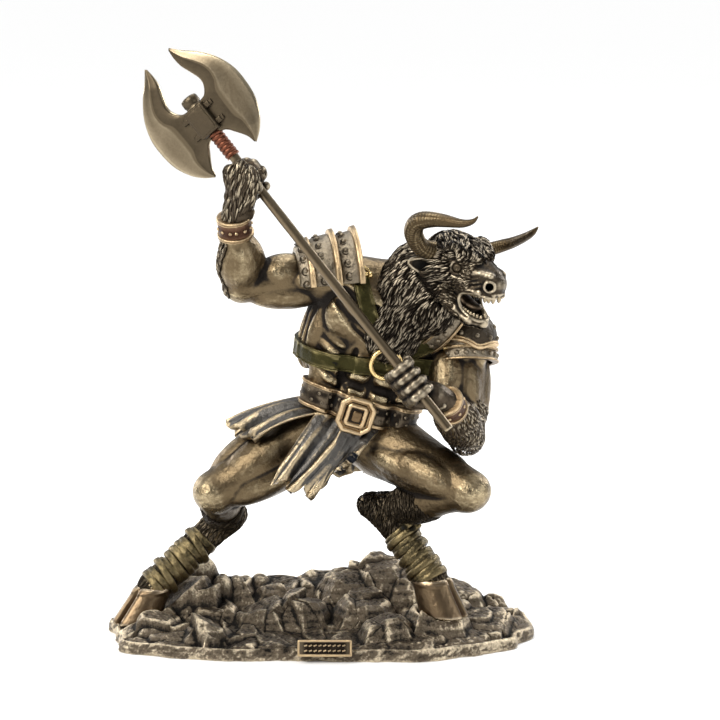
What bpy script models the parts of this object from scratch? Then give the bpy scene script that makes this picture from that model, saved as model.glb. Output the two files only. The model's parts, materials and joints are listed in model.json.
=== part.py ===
"""Cast minotaur statue with a double-bladed axe, standing on a rocky base.

Metres, +Z up. The statue faces -Y, its own left is +X, and the origin is on the base's underside.
Run with blender --background --python part.py, or from Blender's text editor.
"""

import math
import random

import bmesh
import bpy
from mathutils import Matrix, Vector

# Figure. Its pose and muscles are drawn in units of its own height, 210 from rear sole to horn tips.
FIGURE_HEIGHT = 0.210
UNIT = FIGURE_HEIGHT / 210

# Base.
BASE_LENGTH = 0.210
BASE_DEPTH = 0.092
BASE_THICKNESS = 0.008
SOLE_SINK = 0.0012
PLAQUE_LENGTH = 0.026
PLAQUE_HEIGHT = 0.0076
PLAQUE_DEPTH = 0.003
PLAQUE_RIM = 0.0008

# Axe.
SHAFT_DIAMETER = 0.0048
SHAFT_BELOW_FIST = 0.027
HEAD_ABOVE_FIST = 0.035
GRIP_DIAMETER = 0.0072
GRIP_RIDGE = 0.0005
BLADE_SPAN = 0.0568
BLADE_THICKNESS = 0.0036
SOCKET_LENGTH = 0.0155
SOCKET_WIDTH = 0.0112
SOCKET_THICKNESS = 0.0110
BOLT_SIZE = 0.0028
NUT_DIAMETER = 0.0088
NUT_LENGTH = 0.0058
BLADE_TWIST = math.radians(14)

# Clearance between touching pieces, and the grain of the cast surface.
CLEARANCE = 0.0003
FLESH_VOXEL = 0.00095
CAST_VOXEL = 0.00075
FIGURE_TRIANGLES = 6500
BASE_TRIANGLES = 1050

# Joints of the pose, in figure units above the rear sole.
PELVIS = (16.5, 3, 97)
RIBS = (29, 3, 146)
HIPS = {"right": (-2, 4, 96), "left": (33, 3, 90)}
KNEES = {"right": (-50, -12, 69), "left": (73, -27, 73)}
HOCKS = {"right": (-46, 22, 49), "left": (33, 2, 57)}
FETLOCKS = {"right": (-82, 8, 16), "left": (56, -11, 25)}
SOLES = {"right": (-90, 5, 0), "left": (61, -14, 8)}
TOES = {"right": (-0.75, -0.66, 0), "left": (0.86, -0.5, 0)}
SHOULDERS = {"right": (5, -3, 175), "left": (72, 6, 143)}
ELBOWS = {"right": (-36, -9, 171), "left": (73, -10, 96)}
WRISTS = {"right": (-39, -23, 203), "left": (63, -38, 118)}
FISTS = {"right": (-31.2, -26, 225.2), "left": (45.2, -49, 130.8)}
HEAD = (65, -18, 184)
NECK = (42, -2, 168)


def at(x, y, z):
    """A point of the figure, from figure units above the rear sole."""
    return Vector((x, y, z)) * UNIT + Vector((0, 0, BASE_THICKNESS))


def axes_from(front, up):
    """Left, front and up directions, square to each other, the up direction kept."""
    up = Vector(up).normalized()
    front = Vector(front)
    front = (front - up * front.dot(up)).normalized()
    return up.cross(front), front, up


class Frame:
    """A place on the body, read as (left, front, up) in figure units."""

    def __init__(self, origin, front, up):
        self.origin = at(*origin)
        self.axes = axes_from(front, up)

    def __call__(self, left, front, up):
        return self.origin + UNIT * (
            self.axes[0] * left + self.axes[1] * front + self.axes[2] * up
        )


pelvis = Frame(PELVIS, (0.14, -0.99, 0), (0.29, 0.02, 0.957))
chest = Frame(RIBS, (0.30, -0.95, 0), (0.36, -0.10, 0.93))
HEAD_YAW, HEAD_PITCH, HEAD_ROLL = math.radians(42), math.radians(17), math.radians(15)
CHEST_HEIGHT = 51


def torso(left, front, up):
    """A point of the bent trunk: the pelvis at up 0 turns smoothly into the ribs at up 51."""
    share = min(max(up / CHEST_HEIGHT, 0), 1)
    share = share * share * (3 - 2 * share)
    return pelvis(left, front, up).lerp(chest(left, front, up - CHEST_HEIGHT), share)


def head_frame(pitch):
    """The head's frame: front is along the muzzle, and the head's own right side is turned up."""
    level = Vector((math.cos(HEAD_YAW), -math.sin(HEAD_YAW), 0))
    forward = level * math.cos(pitch) - Vector((0, 0, math.sin(pitch)))
    upright = level * math.sin(pitch) + Vector((0, 0, math.cos(pitch)))
    roll = Matrix.Rotation(-HEAD_ROLL, 3, forward)
    return Frame(HEAD, forward, roll @ upright)


head = head_frame(HEAD_PITCH)
brow = head_frame(math.radians(-2))


# Shapes that are gathered in one mesh, to be fused by a Remesh modifier.


def template(make, **settings):
    """The points and faces of a bmesh primitive."""
    bm = bmesh.new()
    make(bm, **settings)
    bm.verts.index_update()
    shape = [v.co.copy() for v in bm.verts], [[v.index for v in face.verts] for face in bm.faces]
    bm.free()
    return shape


SPHERE = template(bmesh.ops.create_uvsphere, u_segments=20, v_segments=12, radius=1)
CUBE = template(bmesh.ops.create_cube, size=1)


def along(direction):
    """Rotation that turns +Z to a direction."""
    return Vector(direction).to_track_quat("Z", "Y").to_matrix().to_4x4()


class Clay:
    """Overlapping closed shapes. Radii are in figure units."""

    def __init__(self):
        self.points = []
        self.faces = []

    def add(self, shape, matrix):
        first = len(self.points)
        self.points += [matrix @ Vector(point) for point in shape[0]]
        self.faces += [[first + k for k in face] for face in shape[1]]

    def ball(self, centre, radius):
        self.add(SPHERE, Matrix.Translation(centre) @ Matrix.Scale(radius * UNIT, 4))

    def cone(self, start, end, start_radius, end_radius, segments=18):
        """A closed cone that ends flat."""
        ring = [(math.cos(a), math.sin(a)) for a in (2 * math.pi * k / segments for k in range(segments))]
        points = [(x * start_radius * UNIT, y * start_radius * UNIT, 0) for x, y in ring]
        points += [(x * end_radius * UNIT, y * end_radius * UNIT, (end - start).length) for x, y in ring]
        faces = [[k, (k + 1) % segments, segments + (k + 1) % segments, segments + k] for k in range(segments)]
        faces += [list(range(segments))[::-1], list(range(segments, 2 * segments))]
        self.add((points, faces), Matrix.Translation(start) @ along(end - start))

    def limb(self, start, end, start_radius, end_radius):
        """A cone between two balls."""
        self.ball(start, start_radius)
        self.ball(end, end_radius)
        self.cone(start, end, start_radius, end_radius)

    def chain(self, points, radii):
        """Limbs end to end."""
        for start, end, first, last in zip(points, points[1:], radii, radii[1:]):
            self.limb(start, end, first, last)

    def lump(self, centre, radii, frame):
        """An ellipsoid whose radii lie along a frame's left, front and up."""
        turn = Matrix(frame.axes).transposed().to_4x4()
        size = Matrix.Diagonal((*(r * UNIT for r in radii), 1))
        self.add(SPHERE, Matrix.Translation(centre) @ turn @ size)

    def muscle(self, start, end, radius):
        """A spindle from one attachment to the other."""
        size = Matrix.Diagonal((radius * UNIT, radius * UNIT, (end - start).length / 2, 1))
        self.add(SPHERE, Matrix.Translation((start + end) / 2) @ along(end - start) @ size)

    def lock(self, root, direction, length, width, lift):
        """A pointed tuft that leans away from the skin."""
        middle = root + direction * length * 0.5 + lift * 0.35 * length
        tip = root + direction * length + lift * 0.2 * length
        self.cone(root, middle, width, 0.8 * width, 6)
        self.cone(middle, tip, 0.8 * width, 0.12 * width, 6)

    def body(self, name):
        mesh = bpy.data.meshes.new(name)
        mesh.from_pydata(self.points, [], self.faces)
        return link(name, mesh, "workshop")


# Blender objects.


def link(name, mesh, collection):
    obj = bpy.data.objects.new(name, mesh)
    bpy.data.collections[collection].objects.link(obj)
    return obj


def from_bmesh(name, bm, collection="workshop"):
    bmesh.ops.recalc_face_normals(bm, faces=bm.faces)
    mesh = bpy.data.meshes.new(name)
    bm.to_mesh(mesh)
    bm.free()
    return link(name, mesh, collection)


def modify(obj, kind, **settings):
    modifier = obj.modifiers.new(kind.title(), kind)
    for name, value in settings.items():
        setattr(modifier, name, value)
    return modifier


def freeze(obj):
    """Replaces an object's mesh by its evaluated one, with its place in the vertices."""
    graph = bpy.context.evaluated_depsgraph_get()
    mesh = bpy.data.meshes.new_from_object(obj.evaluated_get(graph), depsgraph=graph)
    mesh.transform(obj.matrix_world)
    name, old = obj.name, obj.data
    home = obj.users_collection[0].name
    bpy.data.objects.remove(obj)
    if isinstance(old, bpy.types.Curve):
        bpy.data.curves.remove(old)
        weld(mesh)
    return link(name, mesh, home)


def weld(mesh):
    bm = bmesh.new()
    bm.from_mesh(mesh)
    bmesh.ops.remove_doubles(bm, verts=bm.verts, dist=0.00001)
    bmesh.ops.recalc_face_normals(bm, faces=bm.faces)
    bm.to_mesh(mesh)
    bm.free()


def fuse(name, pieces, voxel, smoothing=0):
    """One closed body from overlapping closed ones."""
    bm = bmesh.new()
    for piece in pieces:
        bm.from_mesh(piece.data)
        bpy.data.objects.remove(piece)
    body = from_bmesh(name, bm)
    modify(body, "REMESH", mode="VOXEL", voxel_size=voxel)
    if smoothing:
        modify(body, "SMOOTH", factor=0.5, iterations=smoothing)
    return freeze(body)


def thin_out(obj, triangles):
    """Keeps about that many triangles, where the form needs them."""
    faces = sum(len(polygon.vertices) - 2 for polygon in obj.data.polygons)
    modify(obj, "DECIMATE", ratio=min(1, triangles / faces), use_collapse_triangulate=True)
    return freeze(obj)


def keep_largest(obj):
    """Drops crumbs that a cut has left, so that one body remains."""
    bm = bmesh.new()
    bm.from_mesh(obj.data)
    seen, bodies = set(), []
    for vert in bm.verts:
        if vert in seen:
            continue
        seen.add(vert)
        body, edge_of_body = [vert], [vert]
        while edge_of_body:
            for edge in edge_of_body.pop().link_edges:
                for other in edge.verts:
                    if other not in seen:
                        seen.add(other)
                        body.append(other)
                        edge_of_body.append(other)
        bodies.append(body)
    bodies.sort(key=len)
    crumbs = [vert for body in bodies[:-1] for vert in body]
    bmesh.ops.delete(bm, geom=crumbs, context="VERTS")
    bm.to_mesh(obj.data)
    bm.free()


def cut(obj, cutter, operation="DIFFERENCE"):
    """Cuts or joins with a second mesh, which stays as a hidden helper while the result is frozen."""
    modify(obj, "BOOLEAN", object=cutter, operation=operation, solver="EXACT")
    obj = freeze(obj)
    bpy.data.objects.remove(cutter)
    return obj


# Bare figure.


def build_trunk(clay):
    clay.lump(torso(0, 0, 0), (25, 17, 15), pelvis)
    clay.lump(torso(0, 0, 20), (23.5, 17, 20), pelvis)
    clay.lump(torso(0, 0, 50), (31, 20, 30), chest)
    clay.lump(torso(0, -2, 68), (32, 17, 15), chest)
    for side in (-1, 1):
        clay.lump(torso(side * 15, 12.5, 57), (17, 9.5, 12.5), chest)
        clay.lump(torso(side * 27, -4, 46), (9, 13, 24), chest)
        clay.lump(torso(side * 16, -14, 58), (15, 8.5, 17), chest)
        clay.limb(torso(side * 7, -12, 4), torso(side * 7, -15, 56), 7.5, 7)
        clay.lump(torso(side * 12, -10, -5), (13, 13, 14), pelvis)
        clay.muscle(torso(side * 20, 8, 6), torso(side * 25, 5, 42), 6.5)
        for row in range(3):
            clay.lump(torso(side * 6.6, 15.6, 15 + 10 * row), (6.6, 4.6, 5), pelvis)
        for row in range(4):
            lower = 46 - 6.5 * row
            clay.muscle(torso(side * 30, 2, lower + 3), torso(side * 17, 16, lower - 4), 3.6)


def build_arm(clay, side):
    shoulder, elbow = at(*SHOULDERS[side]), at(*ELBOWS[side])
    wrist = at(*WRISTS[side])
    neck = at(*NECK)
    upper = (elbow - shoulder).normalized()
    fore = (wrist - elbow).normalized()
    bend = (fore - upper * fore.dot(upper)).normalized()
    out = upper.cross(bend)
    thick = 13.2 if side == "right" else 12
    clay.limb(neck, shoulder, 13, 12)
    clay.ball(shoulder, 14.5)
    clay.limb(shoulder, elbow, 12.5, 9)
    clay.muscle(shoulder + bend * 5 * UNIT, elbow + (bend * 5 - upper * 3) * UNIT, 8.4)
    clay.muscle(shoulder - bend * 6 * UNIT, elbow + (upper * 2 - bend * 4) * UNIT, 9)
    clay.limb(elbow, elbow.lerp(wrist, 0.35), 9, thick - 1.5)
    clay.limb(elbow.lerp(wrist, 0.3), wrist, thick - 1.5, 7)
    clay.muscle(elbow.lerp(shoulder, 0.12) + out * 3 * UNIT, wrist + out * 2 * UNIT, 8.8)
    clay.muscle(elbow - upper * 2 * UNIT, wrist - out * 3 * UNIT, 8.8)
    return shoulder, elbow, wrist


def build_leg(clay, side):
    hip, knee = at(*HIPS[side]), at(*KNEES[side])
    hock, fetlock = at(*HOCKS[side]), at(*FETLOCKS[side])
    sole = at(*SOLES[side])
    thigh = (knee - hip).normalized()
    shin = (hock - knee).normalized()
    front = (thigh * 0.6 - shin).normalized()
    out = thigh.cross(front).normalized()
    clay.limb(hip, knee, 18.5, 12)
    clay.muscle(hip + front * 7 * UNIT, knee + front * 3 * UNIT, 12)
    for turn in (-1, 1):
        clay.muscle(hip.lerp(knee, 0.2) + out * turn * 8 * UNIT, knee + out * turn * 5 * UNIT, 9.5)
        clay.muscle(hip + (out * turn * 7 - front * 9) * UNIT, knee + (out * turn * 6 - front * 7) * UNIT, 9.5)
    clay.ball(knee + front * 2 * UNIT, 10.5)
    clay.limb(knee, hock, 10.5, 8)
    clay.muscle(knee - thigh * 2 * UNIT, hock + thigh * 2 * UNIT, 11)
    heel = hock + (shin * 6 + (hock - fetlock).normalized() * 4) * UNIT
    clay.limb(hock, heel, 8.2, 6.5)
    clay.chain((hock, hock.lerp(fetlock, 0.45), fetlock), (8.5, 7, 8))
    clay.limb(fetlock, sole + Vector((0, 0, 6 * UNIT)), 8.4, 8)


# Head.


def build_head(clay):
    clay.lump(head(0, 0, 1), (13, 13.5, 13), head)
    clay.lump(head(0, 8, 4), (12, 10, 8.5), head)
    clay.limb(head(0, 9, 0), head(0, 23, -0.5), 10.2, 7.6)
    clay.limb(head(0, 10, 5), head(0, 26, 2.5), 6.4, 5)
    clay.lump(head(0, 28, -1.8), (8.8, 5, 6), head)
    clay.lump(head(0, 27, -5.6), (7.6, 4.6, 3), head)
    for side in (-1, 1):
        clay.limb(head(side * 11, 8, 9.4), head(side * 4, 17.5, 7.4), 3.8, 3)
        clay.ball(head(side * 9.6, 13, 4), 3.2)
        clay.limb(head(side * 9.6, 4, -5), head(side * 7.4, 20, -6), 5.4, 3)
        clay.ball(head(side * 5.8, 29, 0.6), 4)
        clay.limb(head(side * 9.4, -2, -4), head(side * 7.4, 7, -15), 7, 4)
        clay.chain([head(side * 7.4, 7, -15), head(side * 6, 15, -19.4), head(side * 2, 21, -20.6)], (4, 3.3, 3.4))
        build_ear(clay, side)
    clay.lump(head(0, 10, -16.6), (7, 11, 3.2), head)
    clay.limb(head(0, 6, -9), head(0, 16, -14), 4.8, 3)
    build_horns(clay)


def build_ear(clay, side):
    """A leaf that points out and back, hollow in front."""
    root, tip = head(side * 11, -4, 0), head(side * 25, -8, 0.5)
    for lift in (-3, 3):
        middle = root.lerp(tip, 0.45) + (head(0, 0, lift) - head(0, 0, 0))
        clay.chain((root, middle, tip), (2.4, 1.9, 1.0))
    back = root.lerp(tip, 0.45) + (head(0, -1.6, 0) - head(0, 0, 0))
    clay.muscle(root, back.lerp(tip, 0.9), 2.6)


HORN_LINE = (
    (13, -3, 3),
    (22.5, -6, 5),
    (31, -7, 10),
    (33, -4.5, 14),
    (33, 0, 17),
    (32, 7, 19),
    (30.5, 13.5, 19),
    (28, 22, 18.5),
    (26, 28.5, 18),
    (24, 33.5, 20.5),
)
HORN_RADII = (6.2, 5.7, 5.3, 5.1, 4.8, 4.4, 4.0, 3.2, 2.2, 0.8)


def build_horns(clay):
    for side in (-1, 1):
        clay.chain([brow(side * x, y, z) for x, y, z in HORN_LINE], HORN_RADII)


# Mane and fur, as rows of pointed locks.


def build_mane(clay):
    clay.lump(at(45, -7, 166), (19, 16, 22), chest)
    clay.lump(at(37, -12, 147), (15, 10, 16), chest)
    clay.lump(at(56, -14, 160), (12, 11, 14), chest)
    clay.lump(at(50, -6, 181), (14, 13, 11), head)
    draw = random.Random(3)
    masses = (
        (at(45, -7, 166), (19, 16, 22), 46),
        (at(37, -12, 147), (15, 10, 16), 26),
        (at(56, -14, 160), (12, 11, 14), 18),
        (at(52, -8, 184), (15, 13, 11), 22),
    )
    for centre, radii, count in masses:
        for index in range(count):
            height = 1 - 2 * (index + 0.5) / count
            turn = index * math.pi * (3 - math.sqrt(5))
            ring = math.sqrt(1 - height * height)
            normal = Vector((ring * math.cos(turn), ring * math.sin(turn), height))
            offset = Vector(n * r * UNIT for n, r in zip(normal, radii))
            down = Vector((-0.45, 0.1, -0.9))
            flow = (down - normal * down.dot(normal)).normalized()
            length = draw.uniform(7, 11) * UNIT
            clay.lock(centre + offset * 0.98, flow, length, 2.1, normal)


def build_crown(clay):
    """Curly hair between the horns."""
    draw = random.Random(5)
    for index in range(22):
        left = draw.uniform(-9, 9)
        front = draw.uniform(-7, 9)
        root = head(left, front, 13.6 - 0.045 * (left * left + front * front))
        heading = head(left * 1.4, front + 7, 10) - head(left, front, 13)
        clay.lock(root, heading.normalized(), 5.5 * UNIT, 1.7, head.axes[2])


# Hands round the shaft.


def shaft_axes():
    """Axe direction from head to butt, the direction to the viewer, and the one across both."""
    run = (at(*FISTS["left"]) - at(*FISTS["right"])).normalized()
    face = Vector((0, -1, 0))
    face = (face - run * face.dot(run)).normalized()
    return run, face, run.cross(face)


FINGER_PITCH = 4.9
FINGER_RADIUS = 2.75
# Angles from the viewer's side towards the shaft's upper right side.
FINGER_TURNS = {"right": (50, 95, 150, 215), "left": (112, 62, -8, -78)}


def round_shaft(centre, step, turn, radius):
    """A point beside the shaft, a step along it, at an angle in degrees."""
    run, face, across = shaft_axes()
    turn = math.radians(turn)
    return centre + run * step + (face * math.cos(turn) + across * math.sin(turn)) * radius


def build_fist(clay, side, wrist):
    centre = at(*FISTS[side])
    ring = SHAFT_DIAMETER / 2 + CLEARANCE + (FINGER_RADIUS - 0.3) * UNIT
    for finger in range(4):
        step = (finger - 1.5) * FINGER_PITCH * UNIT
        points = [round_shaft(centre, step, turn, ring) for turn in FINGER_TURNS[side]]
        points[0] = round_shaft(centre, step, FINGER_TURNS[side][0], ring + 2.2 * UNIT)
        clay.chain(points, (FINGER_RADIUS + 0.5, FINGER_RADIUS + 0.1, FINGER_RADIUS, FINGER_RADIUS - 0.3))
        clay.limb(wrist, points[0], 5.4, FINGER_RADIUS + 0.7)
    palm_turn = {"right": 5, "left": 150}[side]
    palm = round_shaft(centre, 0, palm_turn, ring + 0.5 * UNIT)
    run = shaft_axes()[0]
    clay.limb(palm - run * 5.5 * UNIT, palm + run * 5.5 * UNIT, 4, 4)
    clay.limb(palm, wrist, 6, 7)
    thumb = {"right": (-70, -120, -165), "left": (160, 205, 250)}[side]
    steps = {"right": (2, -4, -8), "left": (0, -6, -9)}[side]
    points = [wrist.lerp(centre, 0.45)]
    points += [round_shaft(centre, step * UNIT, turn, ring) for step, turn in zip(steps, thumb)]
    clay.chain(points, (5, 3.6, 3.0, 2.6))


# Armour and cloth. Bands are flat grids that a Shrinkwrap lays on the body.


def grid_object(name, rows):
    """A mesh through rows of points."""
    bm = bmesh.new()
    verts = [[bm.verts.new(point) for point in row] for row in rows]
    for first, second in zip(verts, verts[1:]):
        for a, b, c, d in zip(first, first[1:], second[1:], second):
            bm.faces.new((a, b, c, d))
    mesh = bpy.data.meshes.new(name)
    bm.to_mesh(mesh)
    bm.free()
    return link(name, mesh, "workshop")


def lay_on(obj, body, offset, thickness):
    modify(
        obj,
        "SHRINKWRAP",
        target=body,
        wrap_method="NEAREST_SURFACEPOINT",
        wrap_mode="ABOVE_SURFACE",
        offset=offset,
    )
    modify(obj, "SOLIDIFY", thickness=2 * thickness, offset=0)
    return freeze(obj)


def band_round(name, centre, normal, front, radii, height, start=0, sweep=360, steps=48, flare=0):
    """A band that lies round an axis: radii are across and along the front direction."""
    across, ahead, axis = axes_from(front, normal)
    rows = []
    for k in range(5):
        share = k / 4 - 0.5
        row = []
        for step in range(steps + 1):
            turn = math.radians(start + sweep * step / steps)
            swell = 1 + flare * share
            row.append(
                centre
                + axis * height * share
                + across * (radii[0] * swell * math.sin(turn))
                + ahead * (radii[1] * swell * math.cos(turn))
            )
        rows.append(row)
    return grid_object(name, rows)


def ribbon(name, points, width, across):
    """A flat strap along points; across gives the direction of its width at each."""
    rows = []
    for share in (-0.5, -0.17, 0.17, 0.5):
        rows.append([point + side.normalized() * width * share for point, side in zip(points, across)])
    return grid_object(name, rows)


def smooth_line(points, steps=8):
    """A Catmull-Rom curve through points."""
    points = [Vector(p) for p in points]
    ends = [points[0] * 2 - points[1], *points, points[-1] * 2 - points[-2]]
    line = []
    for p0, p1, p2, p3 in zip(ends, ends[1:], ends[2:], ends[3:]):
        for step in range(steps):
            t = step / steps
            line.append(
                0.5 * (2 * p1 + (p2 - p0) * t + (2 * p0 - 5 * p1 + 4 * p2 - p3) * t * t
                       + (3 * p1 - p0 - 3 * p2 + p3) * t * t * t)
            )
    return [*line, points[-1]]


BELT_CENTRE = (17, 1.5, 112.5)
BELT_UP = (0.31, -0.05, 0.95)
BELT_FRONT = (0.12, -0.99, 0)
BELT_HEIGHT = 12.4


def build_belt(body):
    centre = at(*BELT_CENTRE)
    radii = (30 * UNIT, 25 * UNIT)
    height = BELT_HEIGHT * UNIT
    belt = lay_on(band_round("belt", centre, BELT_UP, BELT_FRONT, radii, height), body, 1.2 * UNIT, 1.3 * UNIT)
    parts = [belt]
    up = Vector(BELT_UP).normalized()
    for edge in (-1, 1):
        rim_centre = centre + up * edge * height * 0.5
        rim = band_round("belt_rim", rim_centre, BELT_UP, BELT_FRONT, radii, 1.8 * UNIT)
        parts.append(lay_on(rim, body, 1.9 * UNIT, 1.6 * UNIT))
    buckle = bmesh.new()
    across, front, up = axes_from(BELT_FRONT, BELT_UP)
    turn = Matrix((across, up, front)).transposed().to_4x4()
    middle = centre + (front * 20.5 + across * 0.5) * UNIT
    for radius, depth in ((10.5, 3.4), (6.4, 4.8)):
        bmesh.ops.create_cone(
            buckle,
            cap_ends=True,
            segments=8,
            radius1=radius * UNIT,
            radius2=(radius - 0.8) * UNIT,
            depth=depth * UNIT,
            matrix=Matrix.Translation(middle) @ turn @ Matrix.Rotation(math.radians(22.5), 4, "Z"),
        )
    parts.append(from_bmesh("buckle", buckle))
    return parts


CHEST_RING = (17, 9, 44)


def build_straps(body):
    """Three straps that meet at a ring on the breastbone."""
    ring = torso(2, 22, 43)
    girth = [torso(34 * math.sin(a), 24 * math.cos(a), 40 - 3 * math.sin(a)) for a in
             (math.radians(-4 - 8 * k) for k in range(46))]
    girth_up = [chest.axes[2]] * len(girth)
    parts = [lay_on(ribbon("girth_strap", girth, 9 * UNIT, girth_up), body, 0.8 * UNIT, 1.0 * UNIT)]
    down = smooth_line([torso(-23, 22, 76), torso(-14, 24, 66), torso(-6, 24, 54), ring])
    side = [chest.axes[0].lerp(chest.axes[2], 0.3)] * len(down)
    parts.append(lay_on(ribbon("shoulder_strap", down, 8 * UNIT, side), body, 0.8 * UNIT, 1.0 * UNIT))
    over = smooth_line([ring, torso(10, 24, 48), torso(20, 22, 56), torso(28, 16, 64)])
    side = [chest.axes[2].lerp(chest.axes[0], -0.4)] * len(over)
    parts.append(lay_on(ribbon("front_strap", over, 8.5 * UNIT, side), body, 0.8 * UNIT, 1.0 * UNIT))
    loop = Clay()
    add_ring(loop, ring + chest.axes[1] * 1.0 * UNIT, chest.axes[1], 7.6, 1.3)
    parts.append(loop.body("chest_ring"))
    return parts


def add_ring(clay, centre, normal, radius, wire):
    """A wire ring, as a circle of short limbs."""
    turn = along(normal)
    points = [
        centre + turn @ Vector((math.cos(a), math.sin(a), 0)) * radius * UNIT
        for a in (math.radians(30 * k) for k in range(13))
    ]
    for start, end in zip(points, points[1:]):
        clay.limb(start, end, wire, wire)


def arched_plate(name, centre, axis, front, radius, width, start, sweep, flare):
    """A lame: part of a band round the shoulder, with a raised rim on its outer edge."""
    radii = (radius * UNIT, radius * UNIT)
    plate = band_round(name, centre, axis, front, radii, width * UNIT, start, sweep, 28, flare)
    modify(plate, "SOLIDIFY", thickness=2.0 * UNIT, offset=0)
    edge = centre + Vector(axis).normalized() * width * 0.46 * UNIT
    swell = radius * (1 + 0.46 * flare) + 0.6
    rim = band_round(name + "_rim", edge, axis, front, (swell * UNIT, swell * UNIT), 1.6 * UNIT, start, sweep, 28)
    modify(rim, "SOLIDIFY", thickness=2.8 * UNIT, offset=0)
    return [freeze(plate), freeze(rim)]


def build_pauldrons():
    parts = []
    shoulder = at(*SHOULDERS["right"])
    arm = (at(*ELBOWS["right"]) - shoulder).normalized()
    for index, (place, radius, width) in enumerate(((-11, 16.2, 10), (-1, 18.4, 11), (8, 17.6, 9))):
        centre = shoulder + arm * -place * UNIT
        parts += arched_plate(f"right_lame_{index}", centre, -arm, (0, -0.35, 1), radius, width, -105, 180, 0.14)
    shoulder = at(*SHOULDERS["left"])
    arm = (at(*ELBOWS["left"]) - shoulder).normalized()
    dome = Clay()
    dome.lump(shoulder + Vector((1, -2, 0)) * UNIT, (15.6, 15.6, 13.5), chest)
    parts.append(dome.body("left_dome"))
    for index, (place, radius, width) in enumerate(((4, 14.2, 6.5), (9.5, 14.4, 6.5))):
        centre = shoulder + arm * place * UNIT
        parts += arched_plate(f"left_lame_{index}", centre, arm, (0.5, -1, 0), radius, width, -130, 260, 0.06)
    inward = (at(*NECK) - shoulder).normalized()
    centre = shoulder + inward * 15 * UNIT
    parts += arched_plate("left_collar", centre, inward, (0, -1, 0), 17.5, 9, -70, 170, 0.08)
    return parts


def build_cuffs(body):
    parts = []
    for side in ("right", "left"):
        wrist, elbow = at(*WRISTS[side]), at(*ELBOWS[side])
        axis = (elbow - wrist).normalized()
        centre = wrist.lerp(elbow, 0.04)
        radii = (12 * UNIT, 12 * UNIT)
        cuff = band_round("cuff", centre, axis, (0, -1, 0), radii, 9 * UNIT, steps=28)
        parts.append(lay_on(cuff, body, 0.7 * UNIT, 1.1 * UNIT))
        for edge in (-1, 1):
            rim = band_round("cuff_rim", centre + axis * edge * 4.6 * UNIT, axis, (0, -1, 0), radii, 2 * UNIT, steps=28)
            parts.append(lay_on(rim, body, 1.2 * UNIT, 1.5 * UNIT))
    return parts


def build_wraps(body):
    """Leather bands wound round the shanks, from hock to fetlock."""
    parts = []
    for side in ("right", "left"):
        hock, fetlock = at(*HOCKS[side]), at(*FETLOCKS[side])
        axis = (fetlock - hock).normalized()
        for turn in range(6):
            tilt = axis + Vector((0.25 * (-1) ** turn, 0.1, 0.25))
            centre = hock.lerp(fetlock, 0.2 + 0.15 * turn)
            radii = (12 * UNIT, 12 * UNIT)
            wrap = band_round("wrap", centre, tilt, (0, -1, 0), radii, 4.6 * UNIT, steps=24)
            parts.append(lay_on(wrap, body, 0.5 * UNIT, 1.0 * UNIT))
    return parts


def cloth_panel(name, top, bottom, drop_out, folds, depth, ragged=0.0):
    """A hanging strip between a top and a bottom edge, pleated along its length."""
    rows = []
    for i in range(17):
        v = i / 16
        row = []
        for j in range(25):
            u = j / 24
            edge = bottom[0].lerp(bottom[1], u) + (top[0] - bottom[0]).normalized() * ragged * abs(
                math.sin(3.5 * math.pi * u)
            )
            point = top[0].lerp(top[1], u).lerp(edge, v)
            point += drop_out * (math.sin(math.pi * v) * 0.5 + 0.5 * v)
            point += drop_out.normalized() * depth * math.sin(2 * math.pi * folds * u) * (0.3 + 0.7 * v)
            row.append(point)
        rows.append(row)
    panel = grid_object(name, rows)
    modify(panel, "SOLIDIFY", thickness=2.2 * UNIT, offset=0)
    return freeze(panel)


def build_skirt():
    waist = Frame(BELT_CENTRE, BELT_FRONT, BELT_UP)

    def hem(turn, drop):
        turn = math.radians(turn)
        return waist(25 * math.sin(turn), 19.5 * math.cos(turn), -drop - 3)

    return [
        cloth_panel("skirt_front", (hem(-42, 4), hem(22, 4)), (at(-22, -26, 71), at(0, -27, 64)),
                    Vector((-1, -5, 1)) * UNIT, 2.5, 1.7 * UNIT, 5 * UNIT),
        cloth_panel("skirt_front_left", (hem(-8, 4), hem(38, 4)), (at(-6, -22, 66), at(6, -20, 80)),
                    Vector((0, -4, 0)) * UNIT, 1.5, 1.4 * UNIT),
        cloth_panel("skirt_right", (hem(-95, 4), hem(-38, 4)), (at(-43, 2, 101), at(-28, -18, 92)),
                    Vector((-2, -3, 5)) * UNIT, 2.5, 1.6 * UNIT, 4 * UNIT),
        cloth_panel("skirt_back_right", (hem(-150, 4), hem(-80, 4)), (at(-34, 24, 82), at(-40, 8, 92)),
                    Vector((-3, 3, 2)) * UNIT, 2.5, 1.6 * UNIT, 4 * UNIT),
        cloth_panel("skirt_back", (hem(-215, 4), hem(-140, 4)), (at(24, 26, 66), at(-14, 28, 68)),
                    Vector((-1, 5, 0)) * UNIT, 3, 1.6 * UNIT, 5 * UNIT),
    ]


# Hooves: cloven, splayed, flat underneath.


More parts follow.
